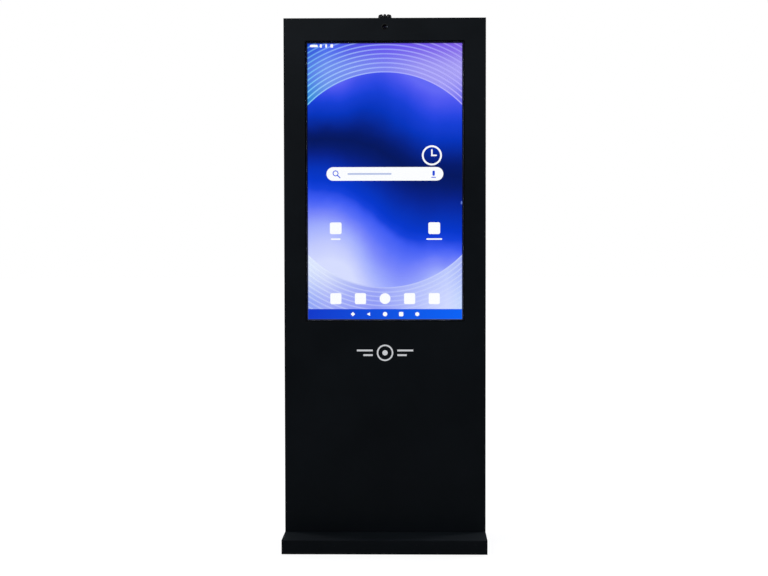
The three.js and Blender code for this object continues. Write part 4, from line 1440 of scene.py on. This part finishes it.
def make_player_details():
    low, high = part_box("media_player")
    ports = bmesh.new()
    y = (low.y + high.y - 3 * MM) / 2
    for x, width, height in PLAYER_PORTS:
        start = (x * MM - width / 2 * MM, y - height / 2 * MM, high.z - 0.2 * MM)
        end = (x * MM + width / 2 * MM, y + height / 2 * MM, high.z + 1.2 * MM)
        slab(ports, start, end, 0.4 * MM)
    piece("player_ports", ports, MOULDED, "housing")
    lamp = bmesh.new()
    rod(lamp, (126 * MM, y, high.z - 0.2 * MM), (126 * MM, y, high.z + 1 * MM), 1.6 * MM, 20)
    piece("player_lamp", lamp, GREEN_GLOW, "housing")
    ears = bmesh.new()
    for side in (-1, 1):
        for z in (low.z + 25 * MM, high.z - 25 * MM):
            ends = sorted((side * 150.4 * MM, side * 163 * MM))
            slab(ears, (ends[0], low.y, z - 9 * MM), (ends[1], low.y + 2 * MM, z + 9 * MM), 0.5 * MM)
    piece("player_ears", ears, ZINC, "housing")


make_supply_details()
make_player_details()

# %% [markdown]
# ## Display module from behind
# The back of the display is a pressed steel tray. A folded cover with two columns of vents is screwed over
# its driver boards; each vent is a thin black strip of painted shade that stands for the dark inside the
# slot. A bare board with its chips stands on two pillars near its foot.

# %% Display back
def make_display_back():
    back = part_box("screen_panel")[1].y
    cover = bmesh.new()
    slab(cover, (-95 * MM, back, 1360 * MM), (95 * MM, back + 18 * MM, 1560 * MM), 2 * MM)
    for side in (-1, 1):
        ends = sorted((side * 95 * MM, side * 106 * MM))
        slab(cover, (ends[0], back, 1375 * MM), (ends[1], back + 1 * MM, 1545 * MM), 0.3 * MM)
    piece("driver_cover", cover, ZINC, "housing")
    # Each vent is a thin black strip on the cover: painted shade standing for the dark inside the slot.
    vent_shade = bmesh.new()
    for row in range(12):
        for side in (-1, 1):
            x, z = side * 42 * MM, (1384 + row * 13) * MM
            low = (x - 32 * MM, back + 17.8 * MM, z)
            slab(vent_shade, low, (x + 32 * MM, back + 18.08 * MM, z + 4 * MM), 0.05 * MM)
    piece("driver_cover_vent_slots_painted_shade", vent_shade, MOULDED, "housing")
    spots = [(x * MM, back + 1 * MM, z * MM) for x in (-100.5, 100.5) for z in (1390, 1460, 1530)]
    screws("driver_cover_screws", spots, Y, "housing", 0.9)
    board = bmesh.new()
    slab(board, (-106 * MM, back + 4 * MM, 800 * MM), (106 * MM, back + 5.6 * MM, 838 * MM), 0.3 * MM)
    piece("panel_board", board, BOARD, "housing")
    chips = bmesh.new()
    for x, width in ((-80, 30), (-30, 18), (0, 26), (38, 14), (70, 34)):
        start = (x * MM - width / 2 * MM, back + 5.6 * MM, 808 * MM)
        slab(chips, start, (x * MM + width / 2 * MM, back + 8 * MM, 826 * MM), 0.4 * MM)
    for x in (-98, 98):
        rod(chips, (x * MM, back, 819 * MM), (x * MM, back + 4 * MM, 819 * MM), 3 * MM, 12)
    piece("panel_board_parts", chips, MOULDED, "housing")


make_display_back()

# %% [markdown]
# ## Cable clips
# The loom's trunk is held by five nylon clips. Each is a loop round the loom with a flat foot under a screw.

# %% Clips
TRUNK = Vector((-172 * MM, 8 * MM, 0))
CLIP_HEIGHTS = (1010, 1120, 1240, 1360, 1480)
CLIP_HALF = 4


def make_clips():
    loops = bmesh.new()
    heads = []

    def strip(x0, x1, y0, y1, z):
        low = (TRUNK.x + x0 * MM, TRUNK.y + y0 * MM, (z - CLIP_HALF) * MM)
        slab(loops, low, (TRUNK.x + x1 * MM, TRUNK.y + y1 * MM, (z + CLIP_HALF) * MM), 0.3 * MM)

    section = [(4.3, -CLIP_HALF), (5.6, -CLIP_HALF), (5.6, CLIP_HALF), (4.3, CLIP_HALF)]
    for z in CLIP_HEIGHTS:
        spun(loops, in_mm(section), TRUNK + z * MM * Z, Z, 32, closed=True)
        strip(3, 42, -9.3, -8, z)
        strip(3.6, 5.2, -8.8, -1, z)
        heads.append((TRUNK.x + 36 * MM, TRUNK.y - 8 * MM, z * MM))
    piece("cable_clips", loops, MOULDED, "housing")
    screws("cable_clip_screws", heads, Y, "housing", 0.8)


make_clips()
